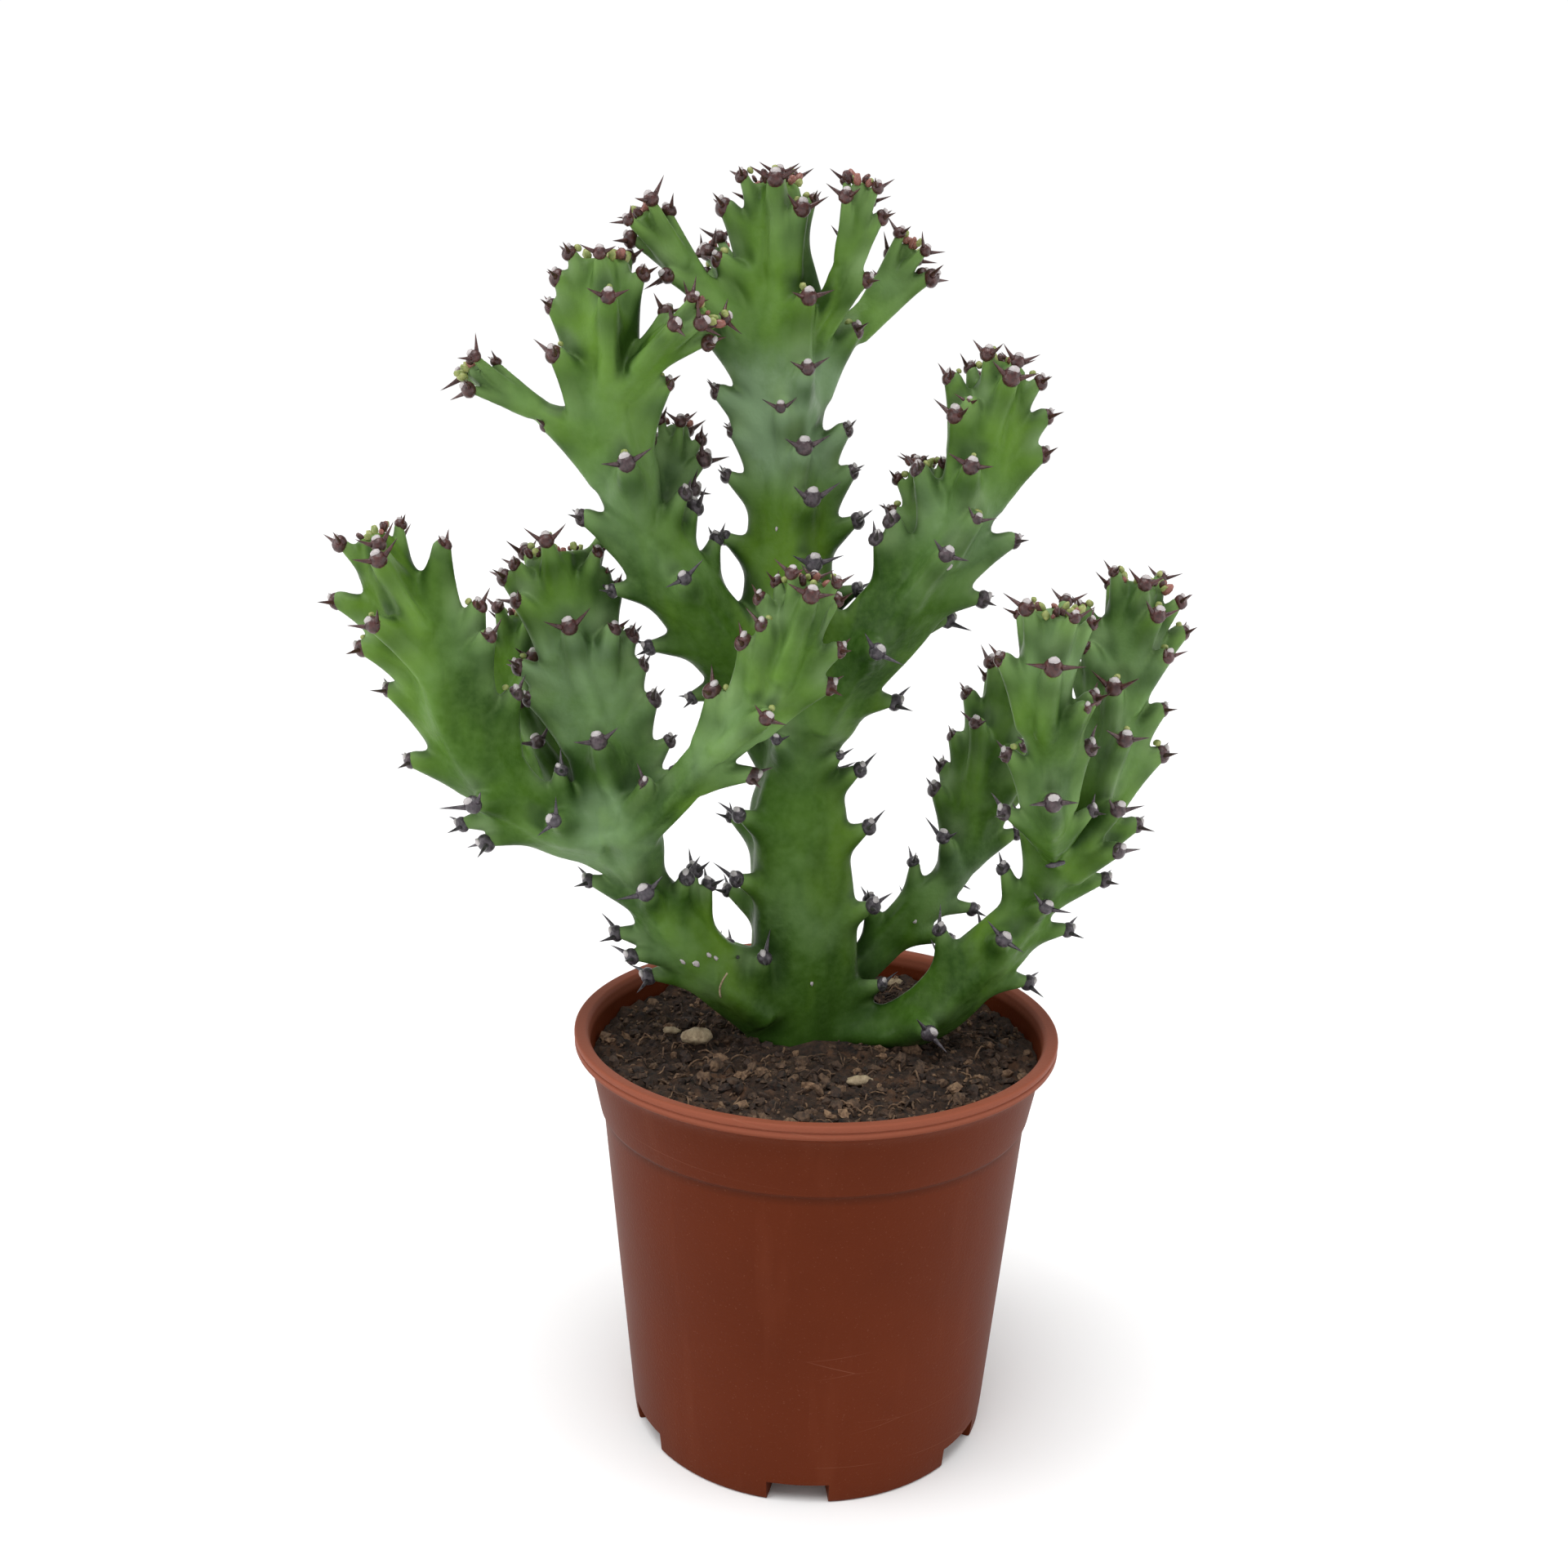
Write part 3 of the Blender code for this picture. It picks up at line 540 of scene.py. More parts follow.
def fair_surface(field, verts, quads):
    """Smooths the net a little and sets it back on the field's zero level; gives its normals."""
    gradient = np.stack(np.gradient(field.value, field.step), axis=-1)
    edges = np.vstack([quads[:, [k, (k + 1) % 4]] for k in range(4)])
    degree = np.bincount(edges.ravel(), minlength=len(verts))
    for _ in range(2):
        mean = np.zeros_like(verts)
        for c in range(3):
            mean[:, c] = (np.bincount(edges[:, 0], verts[edges[:, 1], c], len(verts))
                          + np.bincount(edges[:, 1], verts[edges[:, 0], c], len(verts)))
        verts = 0.5 * verts + 0.5 * mean / degree[:, None]
        for _ in range(2):
            slope = field.sample(gradient, verts)
            value = field.sample(field.value, verts)
            push = value / np.maximum((slope ** 2).sum(1), 0.2)
            verts = verts - np.clip(push, -1, 1)[:, None] * slope
    return verts, unit(field.sample(gradient, verts))


# ---- meshes

def put(name, data):
    """A new object in the scene."""
    obj = bpy.data.objects.new(name, data)
    bpy.context.scene.collection.objects.link(obj)
    return obj


def ride(obj, replaced=None):
    """Makes an object a piece of the part's one body, in place of a CAD node if one is given."""
    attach(obj, "root")
    if replaced:
        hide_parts(replaced)


def new_piece(name, verts, faces, mat, normals=None, smooth=True, replaced=None):
    """A piece made from points in millimetres."""
    mesh = bpy.data.meshes.new(name)
    verts = np.asarray(verts, float) * MM
    mesh.from_pydata(verts.tolist(), [], faces)
    mesh.validate()
    if smooth:
        mesh.shade_smooth()
    if normals is not None:
        mesh.normals_split_custom_set_from_vertices(normals.tolist())
    mesh.materials.append(mat)
    obj = put(name, mesh)
    ride(obj, replaced)
    return obj


def set_attribute(obj, name, values):
    data = obj.data.attributes.new(name, 'FLOAT', 'POINT')
    data.data.foreach_set("value", np.asarray(values, np.float32))


def boundary_loops(quads):
    """Groups of directed edges that only one quad has."""
    edges = {}
    for quad in quads.tolist():
        for edge in zip(quad, quad[1:] + quad[:1]):
            if edge[::-1] in edges:
                del edges[edge[::-1]]
            else:
                edges[edge] = True
    parent = {}

    def find(a):
        while parent.setdefault(a, a) != a:
            parent[a] = parent[parent[a]]
            a = parent[a]
        return a

    for a, b in edges:
        parent[find(a)] = find(b)
    groups = {}
    for a, b in edges:
        groups.setdefault(find(a), []).append((a, b))
    return list(groups.values())


def closed_part(verts, normals, quads):
    """The part of the skin made of these quads, closed inside by a cone over each cut edge."""
    used, flat = np.unique(quads, return_inverse=True)
    own = flat.reshape(quads.shape)
    points, ways = verts[used], normals[used]
    faces = own.tolist()
    extra = []
    for loop in boundary_loops(own):
        ring = sorted({a for a, _ in loop})
        centre = points[ring].mean(0) - CAP_DEPTH * ways[ring].mean(0)
        tip = len(points) + len(extra)
        extra.append(centre)
        faces += [[b, a, tip] for a, b in loop]
    if extra:
        points = np.vstack([points, extra])
        ways = np.vstack([ways, np.tile([0.0, 0.0, 1.0], (len(extra), 1))])
    return used, points, ways, faces


def near_box(points, spots, margin):
    """Indices of the points in the box around some spots."""
    low, high = spots.min(0) - margin, spots.max(0) + margin
    return np.nonzero(((points > low) & (points < high)).all(axis=1))[0]


def stem_shares(stem, points):
    """A stem's hold on each point of the skin, and the place along the stem nearest to it."""
    hold, place = np.zeros(len(points)), np.zeros(len(points))
    chosen = near_box(points, stem.centre, stem.radius.max() + 14)
    for start in range(0, len(chosen), 4000):
        at = chosen[start:start + 4000]
        gap = np.sqrt(((points[at][:, None, :] - stem.centre[None]) ** 2).sum(-1))
        best = gap.argmin(1)
        over = gap[np.arange(len(at)), best] / stem.radius[best]
        hold[at] = np.exp(-3.5 * np.maximum(over - 0.9, 0) ** 2 - 2.5 * np.maximum(over - 1.1, 0))
        place[at] = stem.s[best]
    return hold, place


def skin_values(stems, field, points, normals):
    """Age, bloom, closeness to teeth, hollows and edges, for every point of the skin; all but age and bloom
    steer painted light and shade.
    """
    total = np.full(len(points), 1e-6)
    age, bloom = np.zeros(len(points)), np.zeros(len(points))
    for stem in stems:
        hold, place = stem_shares(stem, points)
        hold = hold ** 3
        total += hold
        age += hold * stem.age_at(place)
        for spot, strength in stem.spec["bloom"]:
            bloom += hold * strength * np.exp(-((place - spot) / BLOOM_WIDTH) ** 2)
    values = {"age": age / total, "bloom": bloom / total}
    # spots just above and just below each tooth: painted light with pale bloom above it, painted shade
    # below it
    for name, lift, sink, width in (("above", 5.0, 2.0, 4.5), ("below", -7.0, 2.0, 5.5)):
        values[name] = np.zeros(len(points))
        for tooth in (tooth for stem in stems for tooth in stem.teeth):
            spot = tooth["apex"] + tooth["along"] * lift - tooth["out"] * sink
            at = near_box(points, spot[None], 2.2 * width)
            close = np.exp(-((points[at] - spot) ** 2).sum(1) / width ** 2)
            values[name][at] = np.maximum(values[name][at], close)
    # how hollow the skin is, for the painted shade in its crevices
    values["crevice_shade"] = 1 - field.sample(field.value, points + HOLLOW_REACH * normals) / HOLLOW_REACH
    # how thin the skin is behind a point, for paler ridges and tips with a painted highlight
    values["edge"] = 1 + field.sample(field.value, points - EDGE_REACH * normals) / EDGE_REACH
    return values


# Marks on the skin: (stem, place, azimuth, size) of pale flecks
FLECKS = [("lower_left_stem", 41, -12, 0.8), ("lower_left_stem", 38, 6, 1.0),
          ("lower_left_stem", 36, 34, 0.9), ("lower_left_stem", 33, 40, 0.7), ("trunk", 68, 12, 0.6),
          ("upper_right_stem", 70, 10, 0.9), ("leader", 60, -20, 0.5), ("rear_right_stem", 30, 10, 0.6)]
FIBRE = ("lower_left_stem", 24, 12)  # a dry fibre: stem, place, azimuth
FIBRE_LENGTH = 9.0
SCAR = ("right_front_arm", 3, 0)  # a dark scar: stem, place, azimuth


def skin_spot(field, stem, s, azimuth):
    """The point of the skin at a place and an azimuth of a stem, the way out and the stem's direction."""
    centre, along, front, side, _ = stem.frame_at(s)
    out = unit(around(front, side, math.radians(azimuth)))
    line = centre + out * np.arange(0, 30, 0.25)[:, None]
    first = int(np.argmax(field.sample(field.value, line) > 0))
    return line[first], out, along


def make_marks(field, stems):
    """Pale flecks, a dry fibre and a dark scar, as the old skin carries them."""
    named = {stem.name: stem for stem in stems}
    rng = random.Random(SEED + 9)
    flecks = Gather()
    for name, s, azimuth, size in FLECKS:
        spot, out, along = skin_spot(field, named[name], s, azimuth)
        points, faces = ball(rng, (size, size * 1.5, 0.35), 5, 8, 0.3)
        flecks.add(placed(points, spot, out, along), faces, 1.0, 1.0)
    flecks.piece("skin_flecks", "areole", horn_material())
    spot, out, _ = skin_spot(field, named[FIBRE[0]], *FIBRE[1:])
    t = np.linspace(0, 1, 9)[:, None]
    arch = np.sin(math.pi * t)
    line = spot + out * (0.4 + 1.2 * arch) + np.array([0.25, 0.0, 1.0]) * FIBRE_LENGTH * (t - 0.5)
    line[:, 0] -= 1.6 * arch[:, 0]
    dry = Gather()
    dry.add(*tube(line, 0.35), 0.8, 0.0)
    dry.piece("dry_fibre", "fibre", chip_material())
    spot, out, along = skin_spot(field, named[SCAR[0]], *SCAR[1:])
    scar = Gather()
    points, faces = ball(rng, (3.4, 1.3, 0.9), 6, 12, 0.12)
    scar.add(placed(points, spot, out, along), faces, 0.1, 0.0)
    scar.piece("neck_scar", "areole", horn_material())


def make_plant():
    """Builds the fused skin and cuts it into one piece for each stem."""
    stems = [Stem(name, spec, SEED + k) for k, (name, spec) in enumerate(STEMS.items())]
    field = Field(stems, GRID)
    verts, quads = surface_nets(field)
    verts, normals = fair_surface(field, verts, quads)
    values = skin_values(stems, field, verts, normals)
    middle = np.rint((verts[quads].mean(1) - field.low) / field.step).astype(int)
    owner = field.owner[middle[:, 0], middle[:, 1], middle[:, 2]]
    skin = stem_material()
    for index, stem in enumerate(stems):
        used, points, ways, faces = closed_part(verts, normals, quads[owner == index])
        piece = new_piece(f"{stem.name}_skin", points, faces, skin, ways, replaced=stem.name)
        hidden = np.zeros(len(points) - len(used))
        for key, value in values.items():
            set_attribute(piece, key, np.append(value[used], hidden))
        make_areoles(stem)
    make_marks(field, stems)


# ---- spine shields, spines and buds

def bands(rings, sides, first=0):
    """Quads between closed rings of points, from the point first on."""
    faces = []
    for low in range(first, first + (rings - 1) * sides, sides):
        for j in range(sides):
            after = (j + 1) % sides
            faces.append((low + j, low + after, low + sides + after, low + sides + j))
    return faces


def ball(rng, size, rings=5, sides=9, rough=0.08):
    """A lumpy ellipsoid about the origin: points and faces."""
    points = [(0, 0, -size[2])]
    for i in range(1, rings):
        tilt = math.pi * i / rings
        for j in range(sides):
            turn = TAU * j / sides
            grow = 1 + rng.uniform(-rough, rough)
            points.append((size[0] * grow * math.sin(tilt) * math.cos(turn),
                           size[1] * grow * math.sin(tilt) * math.sin(turn),
                           -size[2] * grow * math.cos(tilt)))
    points.append((0, 0, size[2]))
    faces = bands(rings - 1, sides, 1)
    top = 1 + (rings - 2) * sides
    for j in range(sides):
        after = (j + 1) % sides
        faces += [(0, 1 + after, 1 + j), (top + j, top + after, len(points) - 1)]
    return np.array(points, float), faces


SPINE_SIDES = 7
SPINE_STEPS = 6
SPINE_BEND = 0.12  # how far the tip bends up, over the length
SPINE_TAPER = 1.15
SPINE_POINT = 0.06  # radius that is left at the tip


def spine(base, way, bend, length, thick):
    """A tapered, slightly bent thorn."""
    way = unit(np.array(way))
    across = unit(np.cross(way, bend))
    up = np.cross(across, way)
    points = []
    for i in range(SPINE_STEPS):
        t = i / SPINE_STEPS
        centre = base + way * length * t + up * SPINE_BEND * t * t * length
        radius = thick * (1 - t) ** SPINE_TAPER + SPINE_POINT
        points += [centre + radius * around(across, up, TAU * j / SPINE_SIDES) for j in range(SPINE_SIDES)]
    points.append(base + way * length + up * SPINE_BEND * length)
    faces = bands(SPINE_STEPS, SPINE_SIDES)
    last = (SPINE_STEPS - 1) * SPINE_SIDES
    faces += [(last + j, last + (j + 1) % SPINE_SIDES, len(points) - 1) for j in range(SPINE_SIDES)]
    faces.append(tuple(reversed(range(SPINE_SIDES))))
    return np.array(points), faces


class Gather:
    """Collects small solids into one mesh, with an age and a kind for each point."""

    def __init__(self):
        self.points, self.faces, self.age, self.kind = [], [], [], []
        self.count = 0

    def add(self, points, faces, age, kind):
        self.points.append(points)
        self.faces += [tuple(i + self.count for i in face) for face in faces]
        self.age += [age] * len(points)
        self.kind += [kind] * len(points)
        self.count += len(points)

    def piece(self, name, slot, mat, smooth=True):
        """Makes the mesh, if anything was gathered."""
        if self.count:
            obj = new_piece(name, np.vstack(self.points), self.faces, mat, smooth=smooth)
            set_attribute(obj, "age", self.age)
            set_attribute(obj, "kind", self.kind)


def placed(points, centre, out, up):
    """Turns a solid so that its z runs along out and its y along up, and moves it to centre."""
    x = unit(np.cross(up, out))
    y = np.cross(out, x)
    return centre + points @ np.stack([x, y, out])


SHIELD, SPINE, HIGHLIGHT_CAP = 0.0, 0.5, 1.0  # kinds of horn; the caps are pale balls that paint a highlight on top of each shield


def make_areoles(stem):
    """Spine shields with their pairs of spines, and the buds above the younger ones."""
    horn, buds = Gather(), Gather()
    rng = stem.rng
    for tooth in stem.teeth:
        out, along, age = tooth["out"], tooth["along"], tooth["age"]
        side = unit(np.cross(along, out))
        up = unit(along - out * (along @ out))
        size = rng.uniform(0.85, 1.15) * tooth["size"]
        centre = tooth["apex"] + out * (tooth["tip"] * 0.7)
        points, faces = ball(rng, (2.8 * size, 2.9 * size, 2.4 * size), 9, 14, 0.03)
        horn.add(placed(points, centre, out, up), faces, age, SHIELD)
        # a pale cap on the shield's upper front: a painted highlight
        highlight_cap, faces = ball(rng, (1.7 * size, 1.3 * size, 0.9 * size), 6, 9, 0.1)
        horn.add(placed(highlight_cap, centre + up * 1.7 * size + out * 1.5 * size, out, up), faces, age, HIGHLIGHT_CAP)
        lift = rng.uniform(0.05, 0.55)
        for hand in (-1, 1):
            way = out * 0.45 + side * hand * rng.uniform(0.8, 1.0) + up * lift
            length = rng.uniform(5.8, 8.0) * size * (1.15 if age < 0.25 else 1)
            base = centre + side * hand * 1.9 * size + out * 0.5
            horn.add(*spine(base, way, out, length, 0.95 * size), age, SPINE)
        if age > 0.35 and rng.random() < 0.45:
            for _ in range(rng.choice((1, 1, 2))):
                points, faces = ball(rng, (1.0, 1.0, 1.15), 6)
                place = centre + up * rng.uniform(3.2, 4.0) * size - out * 1.3
                place = place + side * rng.uniform(-0.8, 0.8)
                buds.add(placed(points * rng.uniform(0.8, 1.2), place, out, up), faces, age, SHIELD)
    if stem.growing:
        add_crown(stem, horn, buds)
    horn.piece(f"{stem.name}_spines", "areole", horn_material())
    buds.piece(f"{stem.name}_buds", "bud", bud_material())


def add_crown(stem, horn, buds):
    """Tiny red-brown leaves and buds on the growing tip."""
    rng = stem.rng
    centre, along, front, side, radius = stem.frame_at(stem.length)
    for _ in range(9 if radius < 7 else 20):
        turn, reach = rng.uniform(0, TAU), radius * math.sqrt(rng.uniform(0.02, 0.95))
        out = around(front, side, turn)
        spot = centre + reach * out + along * rng.uniform(0.8, 2.4)
        size = rng.uniform(0.7, 1.5)
        shape = (size, size * 0.8, size * rng.uniform(1.0, 1.9))
        points, faces = ball(rng, shape, rough=0.15)
        target = horn if rng.random() < 0.7 else buds
        lean = unit(along + 0.6 * out)
        target.add(placed(points, spot, lean, front), faces, rng.uniform(0.7, 1.6), SPINE)


# ---- materials

class Look:
    """A material whose node tree is written line by line."""

    def __init__(self, name, roughness, specular=0.5):
        self.mat = bpy.data.materials.new(name)
        self.mat.use_nodes = True
        self.tree = self.mat.node_tree
        self.shader = self.tree.nodes["Principled BSDF"]
        self.shader.inputs["Roughness"].default_value = roughness
        self.shader.inputs["Specular IOR Level"].default_value = specular
        self.place = self.tree.nodes.new("ShaderNodeTexCoord").outputs["Object"]
        self.color = None

    def node(self, kind, inputs=(), **props):
        node = self.tree.nodes.new(kind)
        for key, value in props.items():
            setattr(node, key, value)
        for key, value in dict(inputs).items():
            socket = node.inputs[key]
            if isinstance(value, bpy.types.NodeSocket):
                self.tree.links.new(value, socket)
            else:
                socket.default_value = (*value, 1) if socket.type == 'RGBA' else value
        return node

    def stretched(self, scale, turn=(0, 0, 0)):
        """Object coordinates scaled unevenly."""
        inputs = {"Vector": self.place, "Scale": scale, "Rotation": turn}
        return self.node("ShaderNodeMapping", inputs).outputs[0]

    def height(self):
        """Height above the floor in metres."""
        return self.node("ShaderNodeSeparateXYZ", {"Vector": self.place}).outputs["Z"]

    def noise(self, scale, detail=3.0, roughness=0.5, place=None):
        """Noise whose features repeat about scale times a metre."""
        inputs = {"Vector": place or self.place, "Scale": scale, "Detail": detail, "Roughness": roughness}
        return self.node("ShaderNodeTexNoise", inputs).outputs["Fac"]

    def cells(self, scale, place=None, feature='F1'):
        inputs = {"Vector": place or self.place, "Scale": scale}
        return self.node("ShaderNodeTexVoronoi", inputs, feature=feature).outputs["Distance"]

    def attribute(self, name):
        return self.node("ShaderNodeAttribute", attribute_name=name).outputs["Fac"]

    def span(self, value, low, high, to_low=0.0, to_high=1.0):
        """Maps a value from low..high to another range, held at its ends."""
        return self.node("ShaderNodeMapRange", {"Value": value, "From Min": low, "From Max": high,
                                                "To Min": to_low, "To Max": to_high}).outputs[0]

    def calc(self, operation, a, b):
        return self.node("ShaderNodeMath", {0: a, 1: b}, operation=operation).outputs[0]

    def times(self, a, b):
        return self.calc('MULTIPLY', a, b)

    def blend(self, fac, a, b):
        """Mixes two colours; a colour may be an output or three numbers."""
        return self.node("ShaderNodeMix", {0: fac, 6: a, 7: b}, data_type='RGBA').outputs[2]

    def ramp(self, value, low, high, dark, light):
        """A colour that goes from dark to light as a value goes from low to high."""
        return self.blend(self.span(value, low, high), dark, light)

    def coat(self, mask, color):
        """Lays a colour over the one so far."""
        self.color = self.blend(mask, self.color, color)

    def rough(self, value):
        self.tree.links.new(value, self.shader.inputs["Roughness"])

    def finished(self, height, distance, strength):
        """The material, with its colour and a bump of a height, in metres of distance."""
        bump = self.node("ShaderNodeBump", {"Height": height, "Distance": distance, "Strength": strength})
        self.tree.links.new(bump.outputs[0], self.shader.inputs["Normal"])
        self.tree.links.new(self.color, self.shader.inputs["Base Color"])
        return self.mat


def once(make):
    """Makes a material the first time only."""
    store = []

    def give():
        if not store:
            store.append(make())
        return store[0]
    return give


@once
def stem_material():
    look = Look("waxy_green_skin", 0.42, 0.11)
    mottle = look.noise(38, 4, 0.6)
    shade = look.calc('ADD', look.attribute("age"), look.span(mottle, 0.3, 0.7, -0.35, 0.35))
    look.color = look.ramp(shade, 0, 1, (0.040, 0.102, 0.008), (0.110, 0.225, 0.026))
    dark = look.noise(30, 3, 0.55, look.stretched((1, 1, 0.4), (0.2, 0.1, 0)))
    look.coat(look.span(dark, 0.48, 0.60, 0.0, 0.75), (0.016, 0.048, 0.005))
    sunny = look.noise(32, 3, 0.5, look.stretched((1, 1, 0.35), (0.3, 0, 0.8)))
    look.coat(look.span(sunny, 0.5, 0.64, 0.0, 0.7), (0.118, 0.235, 0.018))
    look.coat(look.span(look.noise(420, 3), 0.35, 0.7, 0.0, 0.2), (0.13, 0.24, 0.06))
    patch = look.span(look.noise(60, 4, 0.65), 0.35, 0.6, 0.55, 1.0)
    look.coat(look.times(look.attribute("bloom"), patch), (0.21, 0.32, 0.175))
    look.coat(look.span(look.noise(19, 4, 0.6), 0.52, 0.66, 0.0, 0.5), (0.15, 0.26, 0.095))
    # painted shade under each tooth
    look.coat(look.times(look.attribute("below"), 0.7), (0.014, 0.042, 0.006))
    # painted shade: darker green in the skin's hollows and crevices
    look.coat(look.span(look.attribute("crevice_shade"), 0.08, 0.7, 0.0, 0.85), (0.015, 0.045, 0.006))
    # paler thin ridges and tooth tips: partly their own paler green, partly a painted highlight
    look.coat(look.span(look.attribute("edge"), 0.25, 0.9, 0.0, 0.45), (0.17, 0.29, 0.085))
    # pale bloom and painted light on the upper side of each tooth
    look.coat(look.times(look.attribute("above"), 0.7), (0.20, 0.31, 0.13))
    ragged = look.calc('ADD', look.height(), look.times(mottle, 0.02))
    look.coat(look.span(ragged, 0.144, 0.174, 0.75, 0.0), (0.017, 0.048, 0.006))
    look.rough(look.span(look.noise(90, 4), 0.3, 0.7, 0.34, 0.5))
    grain = look.calc('ADD', look.times(look.noise(900, 3), 0.2), look.noise(220, 3))
    return look.finished(grain, 0.0008, 0.5)


@once
def horn_material():
    """Grey when old and red-brown when young, with pale caps that paint a highlight."""
    look = Look("spine_horn", 0.32)
    age = look.attribute("age")
    grain = look.noise(700, 4, 0.6)
    young = look.ramp(grain, 0.35, 0.65, (0.028, 0.008, 0.008), (0.085, 0.027, 0.024))
    old = look.ramp(grain, 0.35, 0.65, (0.022, 0.018, 0.024), (0.085, 0.072, 0.085))
    look.color = look.ramp(age, 0.2, 0.6, old, young)
    look.coat(look.span(age, 1.05, 1.4, 0.0, 0.8), (0.34, 0.13, 0.10))
    # the highlight caps are whitish: painted highlight
    look.coat(look.span(look.attribute("kind"), 0.7, 1.0, 0.0, 0.75), (0.60, 0.56, 0.56))
    return look.finished(grain, 0.0005, 0.6)


@once
def bud_material():
    look = Look("bud_green", 0.45)
    grain = look.noise(500, 3)
    look.color = look.ramp(grain, 0.3, 0.7, (0.17, 0.23, 0.05), (0.38, 0.40, 0.14))
    return look.finished(grain, 0.0004, 0.5)


@once
def pot_material():
    """Clouded terracotta plastic with a rim painted paler as lit from above, a painted shadow under the
    collar, streaks and scratches.
    """
    look = Look("terracotta_plastic", 0.5, 0.06)
    cloud = look.noise(9, 4, 0.6)
    look.color = look.ramp(cloud, 0.3, 0.7, (0.090, 0.0155, 0.0035), (0.112, 0.020, 0.005))
    height = look.height()
    # painted light: the rim paler where its top and lip catch the light from above
    look.coat(look.span(height, RIM_BOTTOM * MM, (RIM_BOTTOM + 2) * MM), (0.235, 0.068, 0.038))
    # painted shadow: a dark band just under the collar's step
    below = look.span(height, (COLLAR_BOTTOM - 3) * MM, (COLLAR_BOTTOM + 0.2) * MM, 0.0, 0.45)
    above = look.span(height, (COLLAR_BOTTOM + 1.6) * MM, (COLLAR_BOTTOM + 1) * MM)
    look.coat(look.times(below, above), (0.035, 0.008, 0.003))
    streak = look.noise(60, 4, 0.6, look.stretched((1, 1, 0.12)))
    look.coat(look.span(streak, 0.55, 0.75, 0.0, 0.15), (0.20, 0.055, 0.025))
    scratch = look.cells(26, look.stretched((0.25, 0.25, 2.2), (0.2, 0.1, 0)), 'DISTANCE_TO_EDGE')
    patchy = look.span(look.noise(14, 2), 0.56, 0.62, 0.0, 0.3)
    look.coat(look.times(look.span(scratch, 0.004, 0.0), patchy), (0.30, 0.13, 0.08))
    look.coat(look.span(look.noise(1400, 2), 0.66, 0.72, 0.0, 0.2), (0.24, 0.10, 0.06))
    look.rough(look.span(cloud, 0.3, 0.7, 0.42, 0.54))
    return look.finished(look.noise(1100, 2), 0.0002, 0.4)


@once
def soil_material():
    look = Look("peat", 0.95)
    grain = look.noise(260, 6, 0.7)
    look.color = look.ramp(grain, 0.35, 0.68, (0.006, 0.0035, 0.0025), (0.070, 0.036, 0.020))
    rusty = look.span(look.noise(120, 4, 0.6), 0.55, 0.66)
    look.coat(look.times(rusty, 0.6), (0.12, 0.056, 0.026))
    pale = look.span(look.cells(300), 0.16, 0.10, 0.0, 0.6)
    look.coat(look.times(pale, look.span(grain, 0.5, 0.6)), (0.26, 0.20, 0.14))
    return look.finished(look.noise(500, 6, 0.7), 0.0015, 0.9)


@once
def crumb_material():
    """Each crumb has its own tone, which its age attribute holds."""
    look = Look("bark_crumbs", 0.85)
    grain = look.noise(800, 4, 0.6, look.stretched((1, 0.35, 1)))
    dark = look.ramp(grain, 0.35, 0.65, (0.008, 0.005, 0.004), (0.045, 0.022, 0.013))
    light = look.ramp(grain, 0.35, 0.65, (0.085, 0.042, 0.022), (0.26, 0.16, 0.09))
    look.color = look.ramp(look.attribute("age"), 0.0, 1.0, dark, light)
    return look.finished(grain, 0.0008, 0.7)


@once
def chip_material():
    look = Look("pale_wood", 0.8)
    grain = look.noise(420, 5, 0.65, look.stretched((1, 0.3, 1)))
    look.color = look.ramp(grain, 0.3, 0.7, (0.16, 0.11, 0.06), (0.46, 0.37, 0.24))
    return look.finished(grain, 0.001, 0.7)


# ---- pot

POT_HEIGHT = 148.7
RIM_RADIUS = 85.0
WALL = 1.4
WALL_FOOT_RADIUS = 64.1
WALL_TAPER = 0.0911
COLLAR_BOTTOM = 119.0
COLLAR_MIDDLE = 131.0
COLLAR_RADIUS = 78.2
RIM_BOTTOM = 143.0
FLOOR_THICKNESS = 1.6
POT_SIDES = 180
FEET = 6
FOOT_FIRST_AZIMUTH = -2.0
FOOT_WIDTH = 19.0
FOOT_HEIGHT = 7.4
FOOT_INNER_RADIUS = 47.0
DRAIN_HOLE_RADIUS = 3.0
DRAIN_HOLE_PLACE = 55.0


def wall_radius(z):
    return WALL_FOOT_RADIUS + WALL_TAPER * z


def pot_profile():
    """The pot's section as (radius, height, corner radius), from its underside round to its floor."""
    inner_foot = wall_radius(FLOOR_THICKNESS) - WALL
    step = wall_radius(COLLAR_BOTTOM)
    return [
        (60.5, 0.0, 0.0), (wall_radius(0) - 0.2, 0.0, 1.2), (wall_radius(8), 8.0, 0.0),
        (step - 0.05, COLLAR_BOTTOM, 0.5), (step + 1.1, COLLAR_BOTTOM + 1.3, 0.7),
        (COLLAR_RADIUS, COLLAR_MIDDLE, 6.0), (80.0, 140.0, 2.5), (82.2, RIM_BOTTOM, 1.5),
        (RIM_RADIUS - 0.1, 143.8, 0.6), (RIM_RADIUS - 0.1, 145.6, 0.5), (RIM_RADIUS - 0.8, 146.1, 0.3),
        (RIM_RADIUS, 146.7, 0.5), (RIM_RADIUS, POT_HEIGHT, 1.0),
        (83.0, POT_HEIGHT - 0.15, 0.4), (81.0, POT_HEIGHT - 0.35, 0.5), (79.9, POT_HEIGHT - 1.6, 0.8),
        (78.9, 139.5, 3.0), (COLLAR_RADIUS - WALL, COLLAR_MIDDLE, 5.0),
        (step + 1.1 - WALL, COLLAR_BOTTOM + 1.3, 0.5), (step - WALL, COLLAR_BOTTOM, 0.5),
        (inner_foot, FLOOR_THICKNESS, 1.0),
    ]


